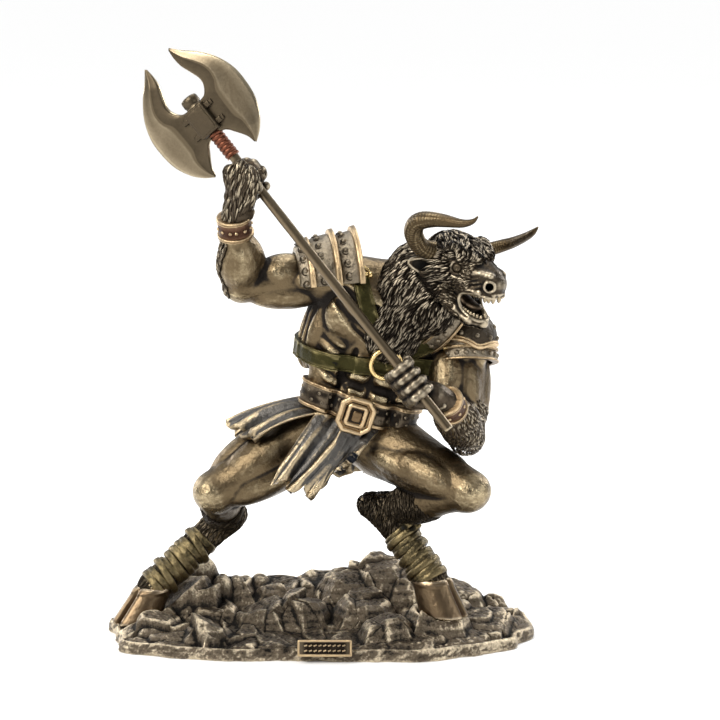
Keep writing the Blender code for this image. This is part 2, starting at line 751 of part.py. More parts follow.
def build_hoof(side):
    fetlock, sole = at(*FETLOCKS[side]), at(*SOLES[side])
    toe = Vector(TOES[side]).normalized()
    across = Vector((-toe.y, toe.x, 0))
    ankle = fetlock.lerp(sole, 0.52)
    ankle.z = max(ankle.z, sole.z + 11 * UNIT)
    height = ankle.z - sole.z + SOLE_SINK
    rows = []
    steps = 20
    for level in range(4):
        share = level / 3
        centre = (sole + toe * 1.5 * UNIT).lerp(ankle, share)
        centre.z = sole.z - SOLE_SINK + height * share
        length = (12.2 - 4.0 * share) * UNIT
        width = (10.6 - 2.6 * share) * UNIT
        row = []
        for step in range(steps):
            turn = 2 * math.pi * step / steps
            cleft = 1 - 0.34 * max(0, math.cos(turn)) ** 24
            row.append(centre + toe * length * math.cos(turn) * cleft + across * width * math.sin(turn))
        rows.append(row)
    bm = bmesh.new()
    verts = [[bm.verts.new(point) for point in row] for row in rows]
    for first, second in zip(verts, verts[1:]):
        for k in range(steps):
            bm.faces.new((first[k], first[(k + 1) % steps], second[(k + 1) % steps], second[k]))
    bm.faces.new(verts[0][::-1])
    bm.faces.new(verts[-1])
    return from_bmesh(side + "_hoof", bm)


def build_hoof_seat(side):
    """The pocket that a hoof stands in: its oval with clearance, from just below the sole upwards."""
    sole = at(*SOLES[side])
    toe = Vector(TOES[side]).normalized()
    turn = Matrix((toe, Vector((-toe.y, toe.x, 0)), Vector((0, 0, 1)))).transposed().to_4x4()
    centre = sole + toe * 1.5 * UNIT
    low = sole.z - SOLE_SINK - CLEARANCE
    high = low + 0.03
    size = Matrix.Diagonal((12.2 * UNIT + 2 * CLEARANCE, 10.6 * UNIT + 2 * CLEARANCE, 1, 1))
    bm = bmesh.new()
    bmesh.ops.create_cone(
        bm,
        cap_ends=True,
        segments=24,
        radius1=1,
        radius2=1,
        depth=high - low,
        matrix=Matrix.Translation((centre.x, centre.y, (low + high) / 2)) @ turn @ size,
    )
    return from_bmesh(side + "_seat", bm)


def build_shank_room(side):
    """Room in the rocks for the shank and its wraps, from the hoof up to the hock."""
    room = Clay()
    low, high = at(*SOLES[side]) + Vector((0, 0, 10 * UNIT)), at(*HOCKS[side])
    room.cone(low, high, 12.5, 14.5, 16)
    return room.body(side + "_room")


# Axe.


def axe_matrix():
    """The axe's own frame: +Y up its shaft to the head, +Z out of its flat face, origin at the right fist."""
    run, face, across = shaft_axes()
    turn = Matrix.Rotation(BLADE_TWIST, 3, run)
    return Matrix.Translation(at(*FISTS["right"])) @ Matrix((turn @ -across, -run, turn @ face)).transposed().to_4x4()


def fist_spacing():
    return (at(*FISTS["left"]) - at(*FISTS["right"])).length


def cylinder(name, radius, low, high, segments=24):
    """A round bar along the axe's shaft, between two distances above the right fist."""
    bm = bmesh.new()
    bmesh.ops.create_cone(
        bm,
        cap_ends=True,
        segments=segments,
        radius1=radius,
        radius2=radius,
        depth=high - low,
        matrix=Matrix.Translation((0, (low + high) / 2, 0)) @ Matrix.Rotation(math.radians(90), 4, "X"),
    )
    obj = from_bmesh(name, bm)
    obj.data.transform(axe_matrix())
    return obj


def shaft_ends():
    return -fist_spacing() - SHAFT_BELOW_FIST, HEAD_ABOVE_FIST + SOCKET_LENGTH / 2 + 0.4 * NUT_LENGTH


# Half of the double blade, in millimetres from the middle of the socket, from the upper horn down
# to the beard: the inner outline and the cutting edge.
BLADE_INNER = (
    (7.3, 36.4),
    (6.9, 31.6),
    (7.5, 26.6),
    (9.3, 21.6),
    (10.9, 16.6),
    (10.2, 12.4),
    (6.5, 8.6),
    (-1, 6.5),
    (-1, -6.5),
    (5.5, -10.2),
    (8.7, -14.2),
    (11.9, -19.2),
    (12.9, -23.2),
)
BLADE_EDGE = (
    (8.2, 37.4),
    (12.5, 32.6),
    (18.9, 26.6),
    (24.5, 19),
    (27.8, 10.4),
    (28.4, 2.1),
    (27.2, -7.3),
    (23.4, -15.4),
    (18.8, -20.6),
    (13.8, -24.1),
)
# Rows from the inner outline to the cutting edge: share of the way, and share of the thickness.
BLADE_PROFILE = ((0, 0.35), (0.12, 0.9), (0.7, 1), (1, 0.1))


def spaced(line, count):
    """Points at even distances along a smooth line."""
    dense = smooth_line([(x, y, 0) for x, y in line], 12)
    lengths = [0]
    for first, second in zip(dense, dense[1:]):
        lengths.append(lengths[-1] + (second - first).length)
    points = []
    place = 0
    for k in range(count):
        wanted = lengths[-1] * k / (count - 1)
        while place < len(dense) - 2 and lengths[place + 1] < wanted:
            place += 1
        share = (wanted - lengths[place]) / (lengths[place + 1] - lengths[place])
        points.append(dense[place].lerp(dense[place + 1], min(1, share)))
    return points


def build_blade(side):
    """One hollow-ground blade, as a closed grid between its inner outline and its cutting edge."""
    count = 17
    inner, edge = spaced(BLADE_INNER, count), spaced(BLADE_EDGE, count)
    scale = BLADE_SPAN / 2 / 28.4
    bm = bmesh.new()
    loops = []
    for face in (1, -1):
        for share, thickness in BLADE_PROFILE if face == 1 else BLADE_PROFILE[::-1]:
            loop = []
            for k, (first, second) in enumerate(zip(inner, edge)):
                point = first.lerp(second, share) * scale
                taper = min(1, 0.3 + 0.25 * min(k, count - 1 - k))
                depth = face * taper * thickness * BLADE_THICKNESS / 2
                loop.append(bm.verts.new((side * point.x, HEAD_ABOVE_FIST + point.y, depth)))
            loops.append(loop)
    for first, second in zip(loops, loops[1:] + loops[:1]):
        for k in range(count - 1):
            bm.faces.new((first[k], first[k + 1], second[k + 1], second[k]))
    for end in (0, -1):
        bm.faces.new([loop[end] for loop in loops])
    blade = from_bmesh("blade", bm)
    blade.data.transform(axe_matrix())
    return blade


def build_axe_head():
    """Two blades on a bolted square socket, with a nut on top."""
    socket = bmesh.new()
    centre = Matrix.Translation((0, HEAD_ABOVE_FIST, 0))
    size = Matrix.Diagonal((SOCKET_WIDTH, SOCKET_LENGTH, SOCKET_THICKNESS, 1))
    bmesh.ops.create_cube(socket, size=1, matrix=axe_matrix() @ centre @ size)
    head_body = from_bmesh("axe_head", socket, "minotaur_statue")
    for side in (-1, 1):
        head_body = cut(head_body, build_blade(side), "UNION")
        for end in (-1, 1):
            bolt = bmesh.new()
            spot = (side * (SOCKET_WIDTH / 2 + 0.4 * BOLT_SIZE), HEAD_ABOVE_FIST + end * 0.3 * SOCKET_LENGTH, 0)
            size = Matrix.Diagonal((1.4 * BOLT_SIZE, BOLT_SIZE, BLADE_THICKNESS + 1.2 * BOLT_SIZE, 1))
            bmesh.ops.create_cube(bolt, size=1, matrix=axe_matrix() @ Matrix.Translation(spot) @ size)
            head_body = cut(head_body, from_bmesh("bolt", bolt), "UNION")
    top = HEAD_ABOVE_FIST + SOCKET_LENGTH / 2
    nut = cylinder("nut", NUT_DIAMETER / 2, top - 0.001, top + NUT_LENGTH, 12)
    head_body = cut(head_body, nut, "UNION")
    low, high = shaft_ends()
    bore = cylinder("head_bore", SHAFT_DIAMETER / 2 + CLEARANCE, low, high + CLEARANCE, 16)
    head_body = cut(head_body, bore)
    low, high = grip_span()
    grip_bore = cylinder("grip_bore", GRIP_DIAMETER / 2 + CLEARANCE, low, high + CLEARANCE, 16)
    return cut(head_body, grip_bore)


def grip_span():
    """The wrapped grip, from above the right fist to below the socket."""
    return 2.6 * FINGER_PITCH * UNIT, HEAD_ABOVE_FIST - SOCKET_LENGTH / 2 - CLEARANCE


def build_grip():
    """A thong wound round the shaft below the head: a ridged sleeve."""
    low, high = grip_span()
    turns = 6
    profile = [(SHAFT_DIAMETER / 2 + CLEARANCE, low)]
    for k in range(turns):
        base = low + (high - low) * k / turns
        profile.append((GRIP_DIAMETER / 2 - GRIP_RIDGE, base))
        profile.append((GRIP_DIAMETER / 2, base + 0.5 * (high - low) / turns))
    profile.append((GRIP_DIAMETER / 2 - GRIP_RIDGE, high))
    profile.append((SHAFT_DIAMETER / 2 + CLEARANCE, high))
    bm = bmesh.new()
    verts = [bm.verts.new((radius, 0, height)) for radius, height in profile]
    for first, second in zip(verts, verts[1:] + verts[:1]):
        bm.edges.new((first, second))
    mesh = bpy.data.meshes.new("axe_grip")
    bm.to_mesh(mesh)
    bm.free()
    grip = link("axe_grip", mesh, "minotaur_statue")
    modify(grip, "SCREW", steps=14, render_steps=14, merge_threshold=0.00005, use_merge_vertices=True)
    grip = freeze(grip)
    grip.data.transform(axe_matrix() @ Matrix.Rotation(math.radians(-90), 4, "X"))
    weld(grip.data)
    return grip


def build_axe():
    low, high = shaft_ends()
    shaft = cylinder("axe_shaft", SHAFT_DIAMETER / 2, low, high, 20)
    bpy.data.collections["minotaur_statue"].objects.link(shaft)
    bpy.data.collections["workshop"].objects.unlink(shaft)
    return shaft, build_axe_head(), build_grip()


# Base.

# Stones: left and back of the middle, half width and height of the top, in millimetres. The first
# rows are the large rocks of the photograph, and smaller ones are scattered between them.
LARGE_STONES = (
    (-92, -6, 17, 10),
    (-66, 24, 16, 24),
    (-52, 8, 14, 18),
    (-44, 32, 15, 22),
    (-20, 30, 17, 20),
    (2, 34, 18, 22),
    (-30, 0, 17, 16),
    (-8, 4, 16, 17),
    (16, 22, 15, 27),
    (33, 26, 14, 31),
    (24, 2, 17, 21),
    (48, 20, 14, 24),
    (72, 24, 16, 20),
    (60, -12, 19, 15.5),
    (84, -4, 18, 12),
    (34, -22, 16, 16),
    (-72, -20, 16, 11),
    (-54, -22, 15, 13),
    (92, 12, 12, 11),
)


def edge_radius(turn):
    """How far the base reaches at an angle, as a share of its half length and half depth."""
    swell = 1 + 0.028 * math.sin(5 * turn + 1) + 0.018 * math.sin(9 * turn) + 0.012 * math.sin(17 * turn + 2)
    return math.copysign(abs(math.cos(turn)) ** 0.8, math.cos(turn)) * swell, math.copysign(
        abs(math.sin(turn)) ** 0.8, math.sin(turn)
    ) * swell


def scatter_stones():
    """All stones as (x, y, half width, top, lean x, lean y), in metres."""
    draw = random.Random(11)
    stones = [(x, y, size, top) for x, y, size, top in LARGE_STONES]
    for _ in range(70):
        x, y = draw.uniform(-95, 95), draw.uniform(-40, 40)
        stones.append((x, y, draw.uniform(6, 12), 9 + 0.09 * (y + 44) + draw.uniform(-2, 3)))
    return [
        (x / 1000, y / 1000, size / 1000, top / 1000, draw.uniform(-0.22, 0.22), draw.uniform(-0.22, 0.22))
        for x, y, size, top in stones
    ]


STONES = scatter_stones()


def ground(x, y):
    """Height of the stones at a point: each is a tilted top that breaks off steeply round its rim."""
    height = BASE_THICKNESS
    for east, north, size, top, lean_x, lean_y in STONES:
        right, back = x - east, y - north
        reach = max(abs(right) + 0.35 * abs(back), abs(back) + 0.25 * abs(right)) / size
        if reach < 1.25:
            fall = max(0, reach - 0.72) * 2.1 * size
            height = max(height, top + lean_x * right + lean_y * back - fall)
    return height


def build_base():
    bm = bmesh.new()
    half_length, half_depth = BASE_LENGTH / 2, BASE_DEPTH / 2
    rings, steps = 44, 150
    rows = []
    for ring in range(1, rings + 1):
        share = ring / rings
        row = []
        for step in range(steps):
            along_x, along_y = edge_radius(2 * math.pi * step / steps)
            x, y = along_x * half_length * share * 0.95, along_y * half_depth * share * 0.95
            z = ground(x, y)
            if share > 0.93:
                z -= (share - 0.93) * 40 * UNIT
            row.append(bm.verts.new((x, y, z)))
        rows.append(row)
    middle = bm.verts.new((0, 0, ground(0, 0)))
    for out, share in ((1.0, 0.55), (1.01, 0.25), (0.99, 0)):
        row = []
        for step in range(steps):
            along_x, along_y = edge_radius(2 * math.pi * step / steps)
            row.append(bm.verts.new((along_x * half_length * out, along_y * half_depth * out, BASE_THICKNESS * share)))
        rows.append(row)
    for first, second in zip(rows, rows[1:]):
        for k in range(steps):
            bm.faces.new((first[k], second[k], second[(k + 1) % steps], first[(k + 1) % steps]))
    for k in range(steps):
        bm.faces.new((middle, rows[0][k], rows[0][(k + 1) % steps]))
    bm.faces.new(rows[-1][::-1])
    base = thin_out(from_bmesh("base", bm), BASE_TRIANGLES)
    for side in ("right", "left"):
        base = cut(base, build_hoof_seat(side))
        base = cut(base, build_shank_room(side))
    plaque = bmesh.new()
    front = -half_depth * 0.97
    centre = Matrix.Translation((0.004, front, 0.5 * PLAQUE_HEIGHT + 0.004)) @ Matrix.Rotation(math.radians(-12), 4, "X")
    bmesh.ops.create_cube(
        plaque, size=1, matrix=centre @ Matrix.Diagonal((PLAQUE_LENGTH, 2 * PLAQUE_DEPTH, PLAQUE_HEIGHT, 1))
    )
    base = cut(base, from_bmesh("plaque", plaque), "UNION")
    base.name = "base"
    bpy.data.collections["minotaur_statue"].objects.link(base)
    bpy.data.collections["workshop"].objects.unlink(base)
    return base


# Whole figure.


def build_figure():
    clay = Clay()
    build_trunk(clay)
    for side in ("right", "left"):
        build_leg(clay, side)
        build_arm(clay, side)
    flesh = fuse("flesh", [clay.body("muscles")], FLESH_VOXEL, smoothing=4)
    gear = build_belt(flesh) + build_straps(flesh) + build_cuffs(flesh) + build_wraps(flesh)
    gear += build_pauldrons() + build_skirt()
    clay = Clay()
    build_head(clay)
    build_mane(clay)
    build_crown(clay)
    for side in ("right", "left"):
        build_fist(clay, side, at(*WRISTS[side]))
    figure = fuse("minotaur", [flesh, clay.body("details"), *gear], CAST_VOXEL, smoothing=1)
    figure = thin_out(figure, FIGURE_TRIANGLES)
    for side in ("right", "left"):
        below = bmesh.new()
        top = at(*SOLES[side]).z + 1.5 * UNIT
        centre = at(*SOLES[side])
        bmesh.ops.create_cube(
            below,
            size=1,
            matrix=Matrix.Translation((centre.x, centre.y, top - 0.02)) @ Matrix.Diagonal((0.05, 0.05, 0.04, 1)),
        )
        figure = cut(figure, from_bmesh("below_" + side, below))
        figure = cut(figure, build_hoof(side), "UNION")
    low, high = shaft_ends()
    figure = cut(figure, cylinder("shaft_bore", SHAFT_DIAMETER / 2 + CLEARANCE, low - 0.01, high))
    low, high = grip_span()
    figure = cut(figure, cylinder("grip_bore", GRIP_DIAMETER / 2 + CLEARANCE, low - CLEARANCE, high + 0.01))
    keep_largest(figure)
    figure.name = "minotaur"
    bpy.data.collections["minotaur_statue"].objects.link(figure)
    bpy.data.collections["workshop"].objects.unlink(figure)
    return figure


def material(name, colour, roughness, metallic):
    made = bpy.data.materials.new(name)
    made.use_nodes = True
    shader = made.node_tree.nodes["Principled BSDF"]
    shader.inputs["Base Color"].default_value = (*colour, 1)
    shader.inputs["Roughness"].default_value = roughness
    shader.inputs["Metallic"].default_value = metallic
    return made


def main():
    for obj in list(bpy.data.objects):
        bpy.data.objects.remove(obj)
    for name in ("minotaur_statue", "workshop"):
        bpy.context.scene.collection.children.link(bpy.data.collections.new(name))
    bronze = material("aged_bronze", (0.24, 0.19, 0.13), 0.38, 0.9)
    steel = material("pale_bronze", (0.42, 0.35, 0.25), 0.3, 1.0)
    thong = material("red_thong", (0.35, 0.10, 0.04), 0.5, 0.3)
    stone = material("bronze_rock", (0.20, 0.15, 0.11), 0.5, 0.8)
    figure = build_figure()
    shaft, axe_head, grip = build_axe()
    base = build_base()
    for obj, made in ((figure, bronze), (shaft, steel), (axe_head, steel), (grip, thong), (base, stone)):
        obj.data.materials.clear()
        obj.data.materials.append(made)


main()
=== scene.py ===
"""Looks of the cast minotaur statue: every surface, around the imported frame, with a plain stage.

Shapes are worked out in millimetres, with the base's top at 8, and go into the meshes in metres. A
muscled form is a signed distance on a box of voxels; bands, strands, horns, cloth, rock and blades
are grids of two parameters.
"""

import json
import random

import bpy
import numpy as np
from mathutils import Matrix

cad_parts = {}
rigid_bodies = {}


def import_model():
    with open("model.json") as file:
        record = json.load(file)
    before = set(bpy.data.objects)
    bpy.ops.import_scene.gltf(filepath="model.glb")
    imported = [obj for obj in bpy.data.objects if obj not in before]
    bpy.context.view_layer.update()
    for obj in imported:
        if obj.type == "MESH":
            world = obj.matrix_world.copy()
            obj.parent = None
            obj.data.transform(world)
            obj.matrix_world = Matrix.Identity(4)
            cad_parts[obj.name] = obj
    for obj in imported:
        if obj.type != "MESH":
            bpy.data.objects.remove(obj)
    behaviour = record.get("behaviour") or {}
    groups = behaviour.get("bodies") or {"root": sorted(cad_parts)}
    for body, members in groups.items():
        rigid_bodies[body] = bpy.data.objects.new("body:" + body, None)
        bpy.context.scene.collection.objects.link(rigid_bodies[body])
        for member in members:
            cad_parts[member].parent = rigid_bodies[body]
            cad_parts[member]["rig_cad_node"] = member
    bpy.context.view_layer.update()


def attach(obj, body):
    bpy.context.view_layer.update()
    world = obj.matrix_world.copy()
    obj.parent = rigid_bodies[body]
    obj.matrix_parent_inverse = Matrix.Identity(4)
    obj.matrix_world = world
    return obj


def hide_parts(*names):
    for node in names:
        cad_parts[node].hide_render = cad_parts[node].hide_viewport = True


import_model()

import openvdb
from mathutils import Matrix

bl_info = {
    "name": "Cast minotaur statue",
    "version": (1, 0, 0),
    "blender": (4, 5, 0),
    "location": "View3D > Sidebar > Statue",
    "description": "Sculpts and finishes a cast minotaur with a double-bladed axe on a rocky base",
    "category": "Object",
}

MM = 0.001
BASE_TOP = 8.0
HEAD_ABOVE_FIST = 35.0
SHAFT_RADIUS = 2.4
BLADE_TWIST = np.radians(14)


# Directions and places.


def unit(vector):
    """A direction, or an array of them, at length one."""
    vector = np.asarray(vector, float)
    return vector / np.maximum(np.linalg.norm(vector, axis=-1, keepdims=True), 1e-9)


def at(x, y, z):
    """A point of the pose, whose heights count from the rear sole."""
    return np.array((x, y, z + BASE_TOP), float)


def dot(a, b):
    """Dot products of two arrays of vectors."""
    return np.sum(a * b, axis=-1)


def full_turn(count):
    """Even angles round a full turn."""
    return np.linspace(0, 2 * np.pi, count, endpoint=False)


def mirrored(place, side):
    """A place's points on one side, 1 or -1, of its middle, with left counted outwards."""
    return lambda out, front, up: place(side * out, front, up)


class Place:
    """An origin with left, front and up directions, square to each other, the up one kept."""

    def __init__(self, origin, front, up):
        self.origin = np.asarray(origin, float)
        up = unit(up)
        front = np.asarray(front, float)
        front = unit(front - up * front.dot(up))
        self.axes = np.array((np.cross(up, front), front, up))

    def __call__(self, left, front, up):
        return self.origin + np.stack(np.broadcast_arrays(left, front, up), -1) @ self.axes

    def way(self, left, front, up):
        """Directions given along the place's own axes."""
        return unit(np.stack(np.broadcast_arrays(left, front, up), -1)) @ self.axes

    def read(self, points):
        """Left, front and up of points."""
        return np.moveaxis((points - self.origin) @ self.axes.T, -1, 0)


HIPS = {"right": at(-2, 4, 96), "left": at(33, 3, 90)}
KNEES = {"right": at(-50, -12, 69), "left": at(73, -27, 73)}
HOCKS = {"right": at(-46, 22, 49), "left": at(33, 2, 57)}
FETLOCKS = {"right": at(-82, 8, 16), "left": at(56, -11, 25)}
SOLES = {"right": at(-90, 5, 0), "left": at(61, -14, 8)}
TOES = {"right": unit((-0.75, -0.66, 0)), "left": unit((0.86, -0.5, 0))}
SHOULDERS = {"right": at(5, -3, 175), "left": at(72, 6, 143)}
ELBOWS = {"right": at(-36, -9, 171), "left": at(73, -10, 96)}
WRISTS = {"right": at(-39, -23, 203), "left": at(63, -38, 118)}
FISTS = {"right": at(-31.2, -26, 225.2), "left": at(45.2, -49, 130.8)}
NECK = at(42, -2, 168)
SIDES = ("right", "left")

pelvis = Place(at(16.5, 3, 97), (0.14, -0.99, 0), (0.29, 0.02, 0.957))
chest = Place(at(29, 3, 146), (0.30, -0.95, 0), (0.36, -0.10, 0.93))
belt_place = Place(at(17, 1.5, 112.5), (0.12, -0.99, 0), (0.31, -0.05, 0.95))
CHEST_HEIGHT = 51


def torso(left, front, up):
    """A point of the bent trunk, which turns smoothly from the pelvis at 0 into the ribs at 51."""
    share = np.clip(np.asarray(up, float) / CHEST_HEIGHT, 0, 1)
    share = (share * share * (3 - 2 * share))[..., None]
    return pelvis(left, front, up) * (1 - share) + chest(left, front, np.subtract(up, CHEST_HEIGHT)) * share


def head_place(yaw, pitch, roll):
    """The head's place for angles in degrees."""
    yaw, pitch, roll = np.radians((yaw, pitch, roll))
    level = np.array((np.cos(yaw), -np.sin(yaw), 0))
    ahead = level * np.cos(pitch) - np.array((0, 0, np.sin(pitch)))
    upright = level * np.sin(pitch) + np.array((0, 0, np.cos(pitch)))
    upright = upright * np.cos(roll) - np.cross(ahead, upright) * np.sin(roll)
    return Place(at(65, -18, 184), ahead, upright)


head = head_place(42, 17, 1)
brow = head_place(42, -2, 15)


def axe_place():
    """The axe: left across the blades, front out of their flat face, up along the shaft to the head."""
    run = unit(FISTS["left"] - FISTS["right"])
    face = np.array((0, -1.0, 0))
    face = unit(face - run * face.dot(run))
    across = np.cross(run, face)
    turned = face * np.cos(BLADE_TWIST) + np.cross(run, face) * np.sin(BLADE_TWIST)
    made = Place(FISTS["right"], turned, -run)
    return made, run, face, across


axe, RUN, FACE, ACROSS = axe_place()
FIST_SPACING = np.linalg.norm(FISTS["left"] - FISTS["right"])


# Sculpting.


class Clay:
    """Signed distance to a form, on a box of voxels. Shapes melt together over a blend distance."""

    FAR = 20.0

    def __init__(self, low, high, step):
        self.low = np.asarray(low, float)
        self.step = step
        count = np.ceil((np.asarray(high) - self.low) / step).astype(int) + 1
        self.value = np.full(count, self.FAR, np.float32)

    def window(self, low, high, blend):
        """The part of the box that two corners and their blend reach, and its x, y and z as open arrays."""
        margin = 2 * blend + 2 * self.step + 2
        shape = np.array(self.value.shape)
        first = np.clip(np.floor((low - margin - self.low) / self.step).astype(int), 0, shape)
        last = np.clip(np.ceil((high + margin - self.low) / self.step).astype(int) + 1, 0, shape)
        lines = [
            (self.low[i] + self.step * np.arange(first[i], last[i])).astype(np.float32).reshape(
                [-1 if axis == i else 1 for axis in range(3)]
            )
            for i in range(3)
        ]
        return tuple(slice(a, b) for a, b in zip(first, last)), lines

    def melt(self, part, distance, blend, carve=False):
        """Smooth minimum, or for a carved shape smooth maximum with its inside turned out."""
        old = self.value[part]
        if carve:
            distance = -distance
        near = np.maximum(blend - np.abs(old - distance), 0) / blend
        soft = near * near * blend * 0.25
        self.value[part] = np.maximum(old, distance) + soft if carve else np.minimum(old, distance) - soft

    def lump(self, centre, radii, axes, blend=1.6, carve=False):
        """An ellipsoid: the point divided by its radii, with its length corrected to a distance."""
        centre = np.asarray(centre, float)
        radii = np.asarray(radii, float)
        reach = np.abs(np.asarray(axes).T) @ radii
        part, lines = self.window(centre - reach, centre + reach, blend)
        rel = [line - c for line, c in zip(lines, np.float32(centre))]
        outer, inner = 0, 0
        for axis, radius, square in zip(np.float32(axes), np.float32(radii), np.float32(radii**2)):
            along = sum(a * r for a, r in zip(axis, rel))
            outer = outer + (along / radius) ** 2
            inner = inner + (along / square) ** 2
        outer = np.sqrt(outer)
        self.melt(part, outer * (outer - 1) / np.maximum(np.sqrt(inner), 1e-6), blend, carve)

    def limb(self, start, end, first, last, blend=3.0, carve=False):
        """A bar with round ends whose radius changes evenly."""
        start, end = np.asarray(start, float), np.asarray(end, float)
        reach = max(first, last)
        part, lines = self.window(np.minimum(start, end) - reach, np.maximum(start, end) + reach, blend)
        rel = [line - c for line, c in zip(lines, np.float32(start))]
        bar = np.float32(end - start)
        square = np.float32((end - start).dot(end - start) + 1e-9)
        share = np.clip(sum(b * r for b, r in zip(bar, rel)) / square, 0, 1)
        away = sum((r - b * share) ** 2 for b, r in zip(bar, rel))
        self.melt(part, np.sqrt(away) - (first + (last - first) * share), blend, carve)

    def chain(self, points, radii, blend=3.0, carve=False):
        for start, end, first, last in zip(points, points[1:], radii, radii[1:]):
            self.limb(start, end, first, last, blend, carve)

    def ball(self, centre, radius, blend=2.0, carve=False):
        self.lump(centre, (radius,) * 3, np.eye(3), blend, carve)

    def muscle(self, start, end, radius, blend=1.5, flat=1.0, side=(0, 0, 1)):
        """A spindle between two attachments, flatter along one side direction."""
        start, end = np.asarray(start, float), np.asarray(end, float)
        place = Place((start + end) / 2, side, end - start)
        self.lump(place.origin, (radius, radius * flat, np.linalg.norm(end - start) / 2), place.axes, blend)

    def ring(self, centre, normal, radius, wire, start=0, sweep=360, blend=1.0):
        """Part of a circle of short bars."""
        place = Place(centre, (0.1, 0.2, 1), normal)
        turns = np.radians(np.linspace(start, start + sweep, max(4, int(sweep / 20)) + 1))
        points = place(radius * np.sin(turns), radius * np.cos(turns), 0 * turns)
        self.chain(points, [wire] * len(points), blend)

    def distance(self, points):
        """The field between voxels, from the eight round each point."""
        place = (points - self.low) / self.step
        place = np.clip(place, 0, np.array(self.value.shape) - 1.001)
        cell = place.astype(int)
        part = place - cell
        total = 0
        for corner in np.ndindex(2, 2, 2):
            weight = np.prod(np.where(corner, part, 1 - part), axis=-1)
            total = total + weight * self.value[tuple(np.moveaxis(cell + np.array(corner), -1, 0))]
        return total

    def normal(self, points):
        """Outward direction: the field's difference two ways along each axis."""
        gap = self.step
        return unit(np.stack([self.distance(points + gap * e) - self.distance(points - gap * e) for e in np.eye(3)],
                             -1))

    def settle(self, points, height=0.0, rounds=5):
        """Points moved along the outward direction to a height over the skin."""
        for _ in range(rounds):
            gap = np.clip(height - self.distance(points), -1.5, 1.5)
            points = points + self.normal(points) * gap[..., None]
        return points

    def fall(self, points, direction, rounds=60):
        """Points that fall along a direction until they lie on the skin."""
        for _ in range(rounds):
            points = points + direction * np.clip(self.distance(points), -0.5, 1.0)[..., None]
        return points

    def occlusion_shade(self, points, normals):
        """How much of the space in front of points is filled, from probes along their outward directions: an
        ambient occlusion, painted onto the skins as shade.
        """
        total = 0
        for reach, weight in ((1.2, 0.25), (3.5, 0.35), (9, 0.4)):
            total = total + weight * (1 - np.clip(self.distance(points + normals * reach) / reach, 0, 1))
        return total

    def standing(self, points, reach):
        """How far points stand out of the form averaged over a cube of some millimetres: the field,
        averaged along each axis in turn."""
        value = np.clip(self.value, -reach, reach)
        wide = max(1, int(reach / self.step))
        for axis in (0, 1, 2):
            for _ in range(2):
                pad = [(0, 0)] * 3
                pad[axis] = (wide + 1, wide)
                total = np.cumsum(np.pad(value, pad, mode="edge"), axis=axis, dtype=np.float32)
                size = value.shape[axis]
                high = np.take(total, np.arange(2 * wide + 1, 2 * wide + 1 + size), axis)
                value = (high - np.take(total, np.arange(size), axis)) / (2 * wide + 1)
        mean = Clay.__new__(Clay)
        mean.low, mean.step, mean.value = self.low, self.step, value
        return mean.distance(points)

    def surface(self):
        """The zero level as points and four-sided faces that point outwards."""
        far = 3 * self.step
        grid = openvdb.FloatGrid(far)
        grid.copyFromArray(np.clip(self.value, -far, far))
        points, quads = grid.convertToQuads()
        return points * self.step + self.low, quads.astype(int)


# Noise and meshes.


def lattice(cells, seed):
    """A repeatable number from 0 to 1 for each whole-numbered cell."""
    mixed = cells[..., 0] * 374761393 + cells[..., 1] * 668265263 + cells[..., 2] * 2147483647 + seed * 1274126177
    mixed = (mixed ^ (mixed >> 13)) * 1274126177 & 0xFFFFFFFF
    mixed = (mixed ^ (mixed >> 16)) & 0xFFFFFFFF
    return mixed / 0xFFFFFFFF


def noise(points, scale, seed=0, octaves=1):
    """Smooth value noise from -1 to 1: numbers on a lattice, blended by a smooth step."""
    total, weight = 0, 1.0
    for octave in range(octaves):
        place = np.asarray(points) / scale * 2**octave
        cell = np.floor(place).astype(np.int64)
        part = place - cell
        part = part * part * (3 - 2 * part)
        value = 0
        for corner in np.ndindex(2, 2, 2):
            share = np.prod(np.where(corner, part, 1 - part), axis=-1)
            value = value + share * lattice(cell + np.array(corner), seed + 7 * octave)
        total = total + weight * (2 * value - 1)
        weight *= 0.5
    return total / (2 - 2 * weight)


def drift(points, scale, first):
    """A direction that changes smoothly: three noises, seeded from the first number on."""
    return np.stack([noise(points, scale, first + k) for k in range(3)], -1)


def grid_faces(rows, columns, round_rows=False, round_columns=False):
    """Quads of a grid of rows and columns, closed one or both ways."""
    r = np.arange(rows if round_rows else rows - 1)[:, None]
    c = np.arange(columns if round_columns else columns - 1)[None, :]
    r2, c2 = (r + 1) % rows, (c + 1) % columns
    return np.stack(np.broadcast_arrays(r * columns + c, r * columns + c2, r2 * columns + c2, r2 * columns + c),
                    -1).reshape(-1, 4)


def merged(shapes):
    """Several closed (points, faces) as one, each with its faces turned outwards."""
    points, faces, count = [], [], 0
    for shape_points, shape_faces in shapes:
        shape_points = np.asarray(shape_points, float).reshape(-1, 3)
        points.append(shape_points)
        faces.append(outward(shape_points, np.asarray(shape_faces)) + count)
        count += len(shape_points)
    return np.concatenate(points), np.concatenate(faces)


def outward(points, faces):
    """Faces turned round if the closed shape holds a negative volume."""
    a, b, c, d = (points[faces[:, i]] for i in range(4))
    volume = dot(np.cross(c - a, d - b), a + b + c + d).sum()
    return faces if volume > 0 else faces[:, ::-1]


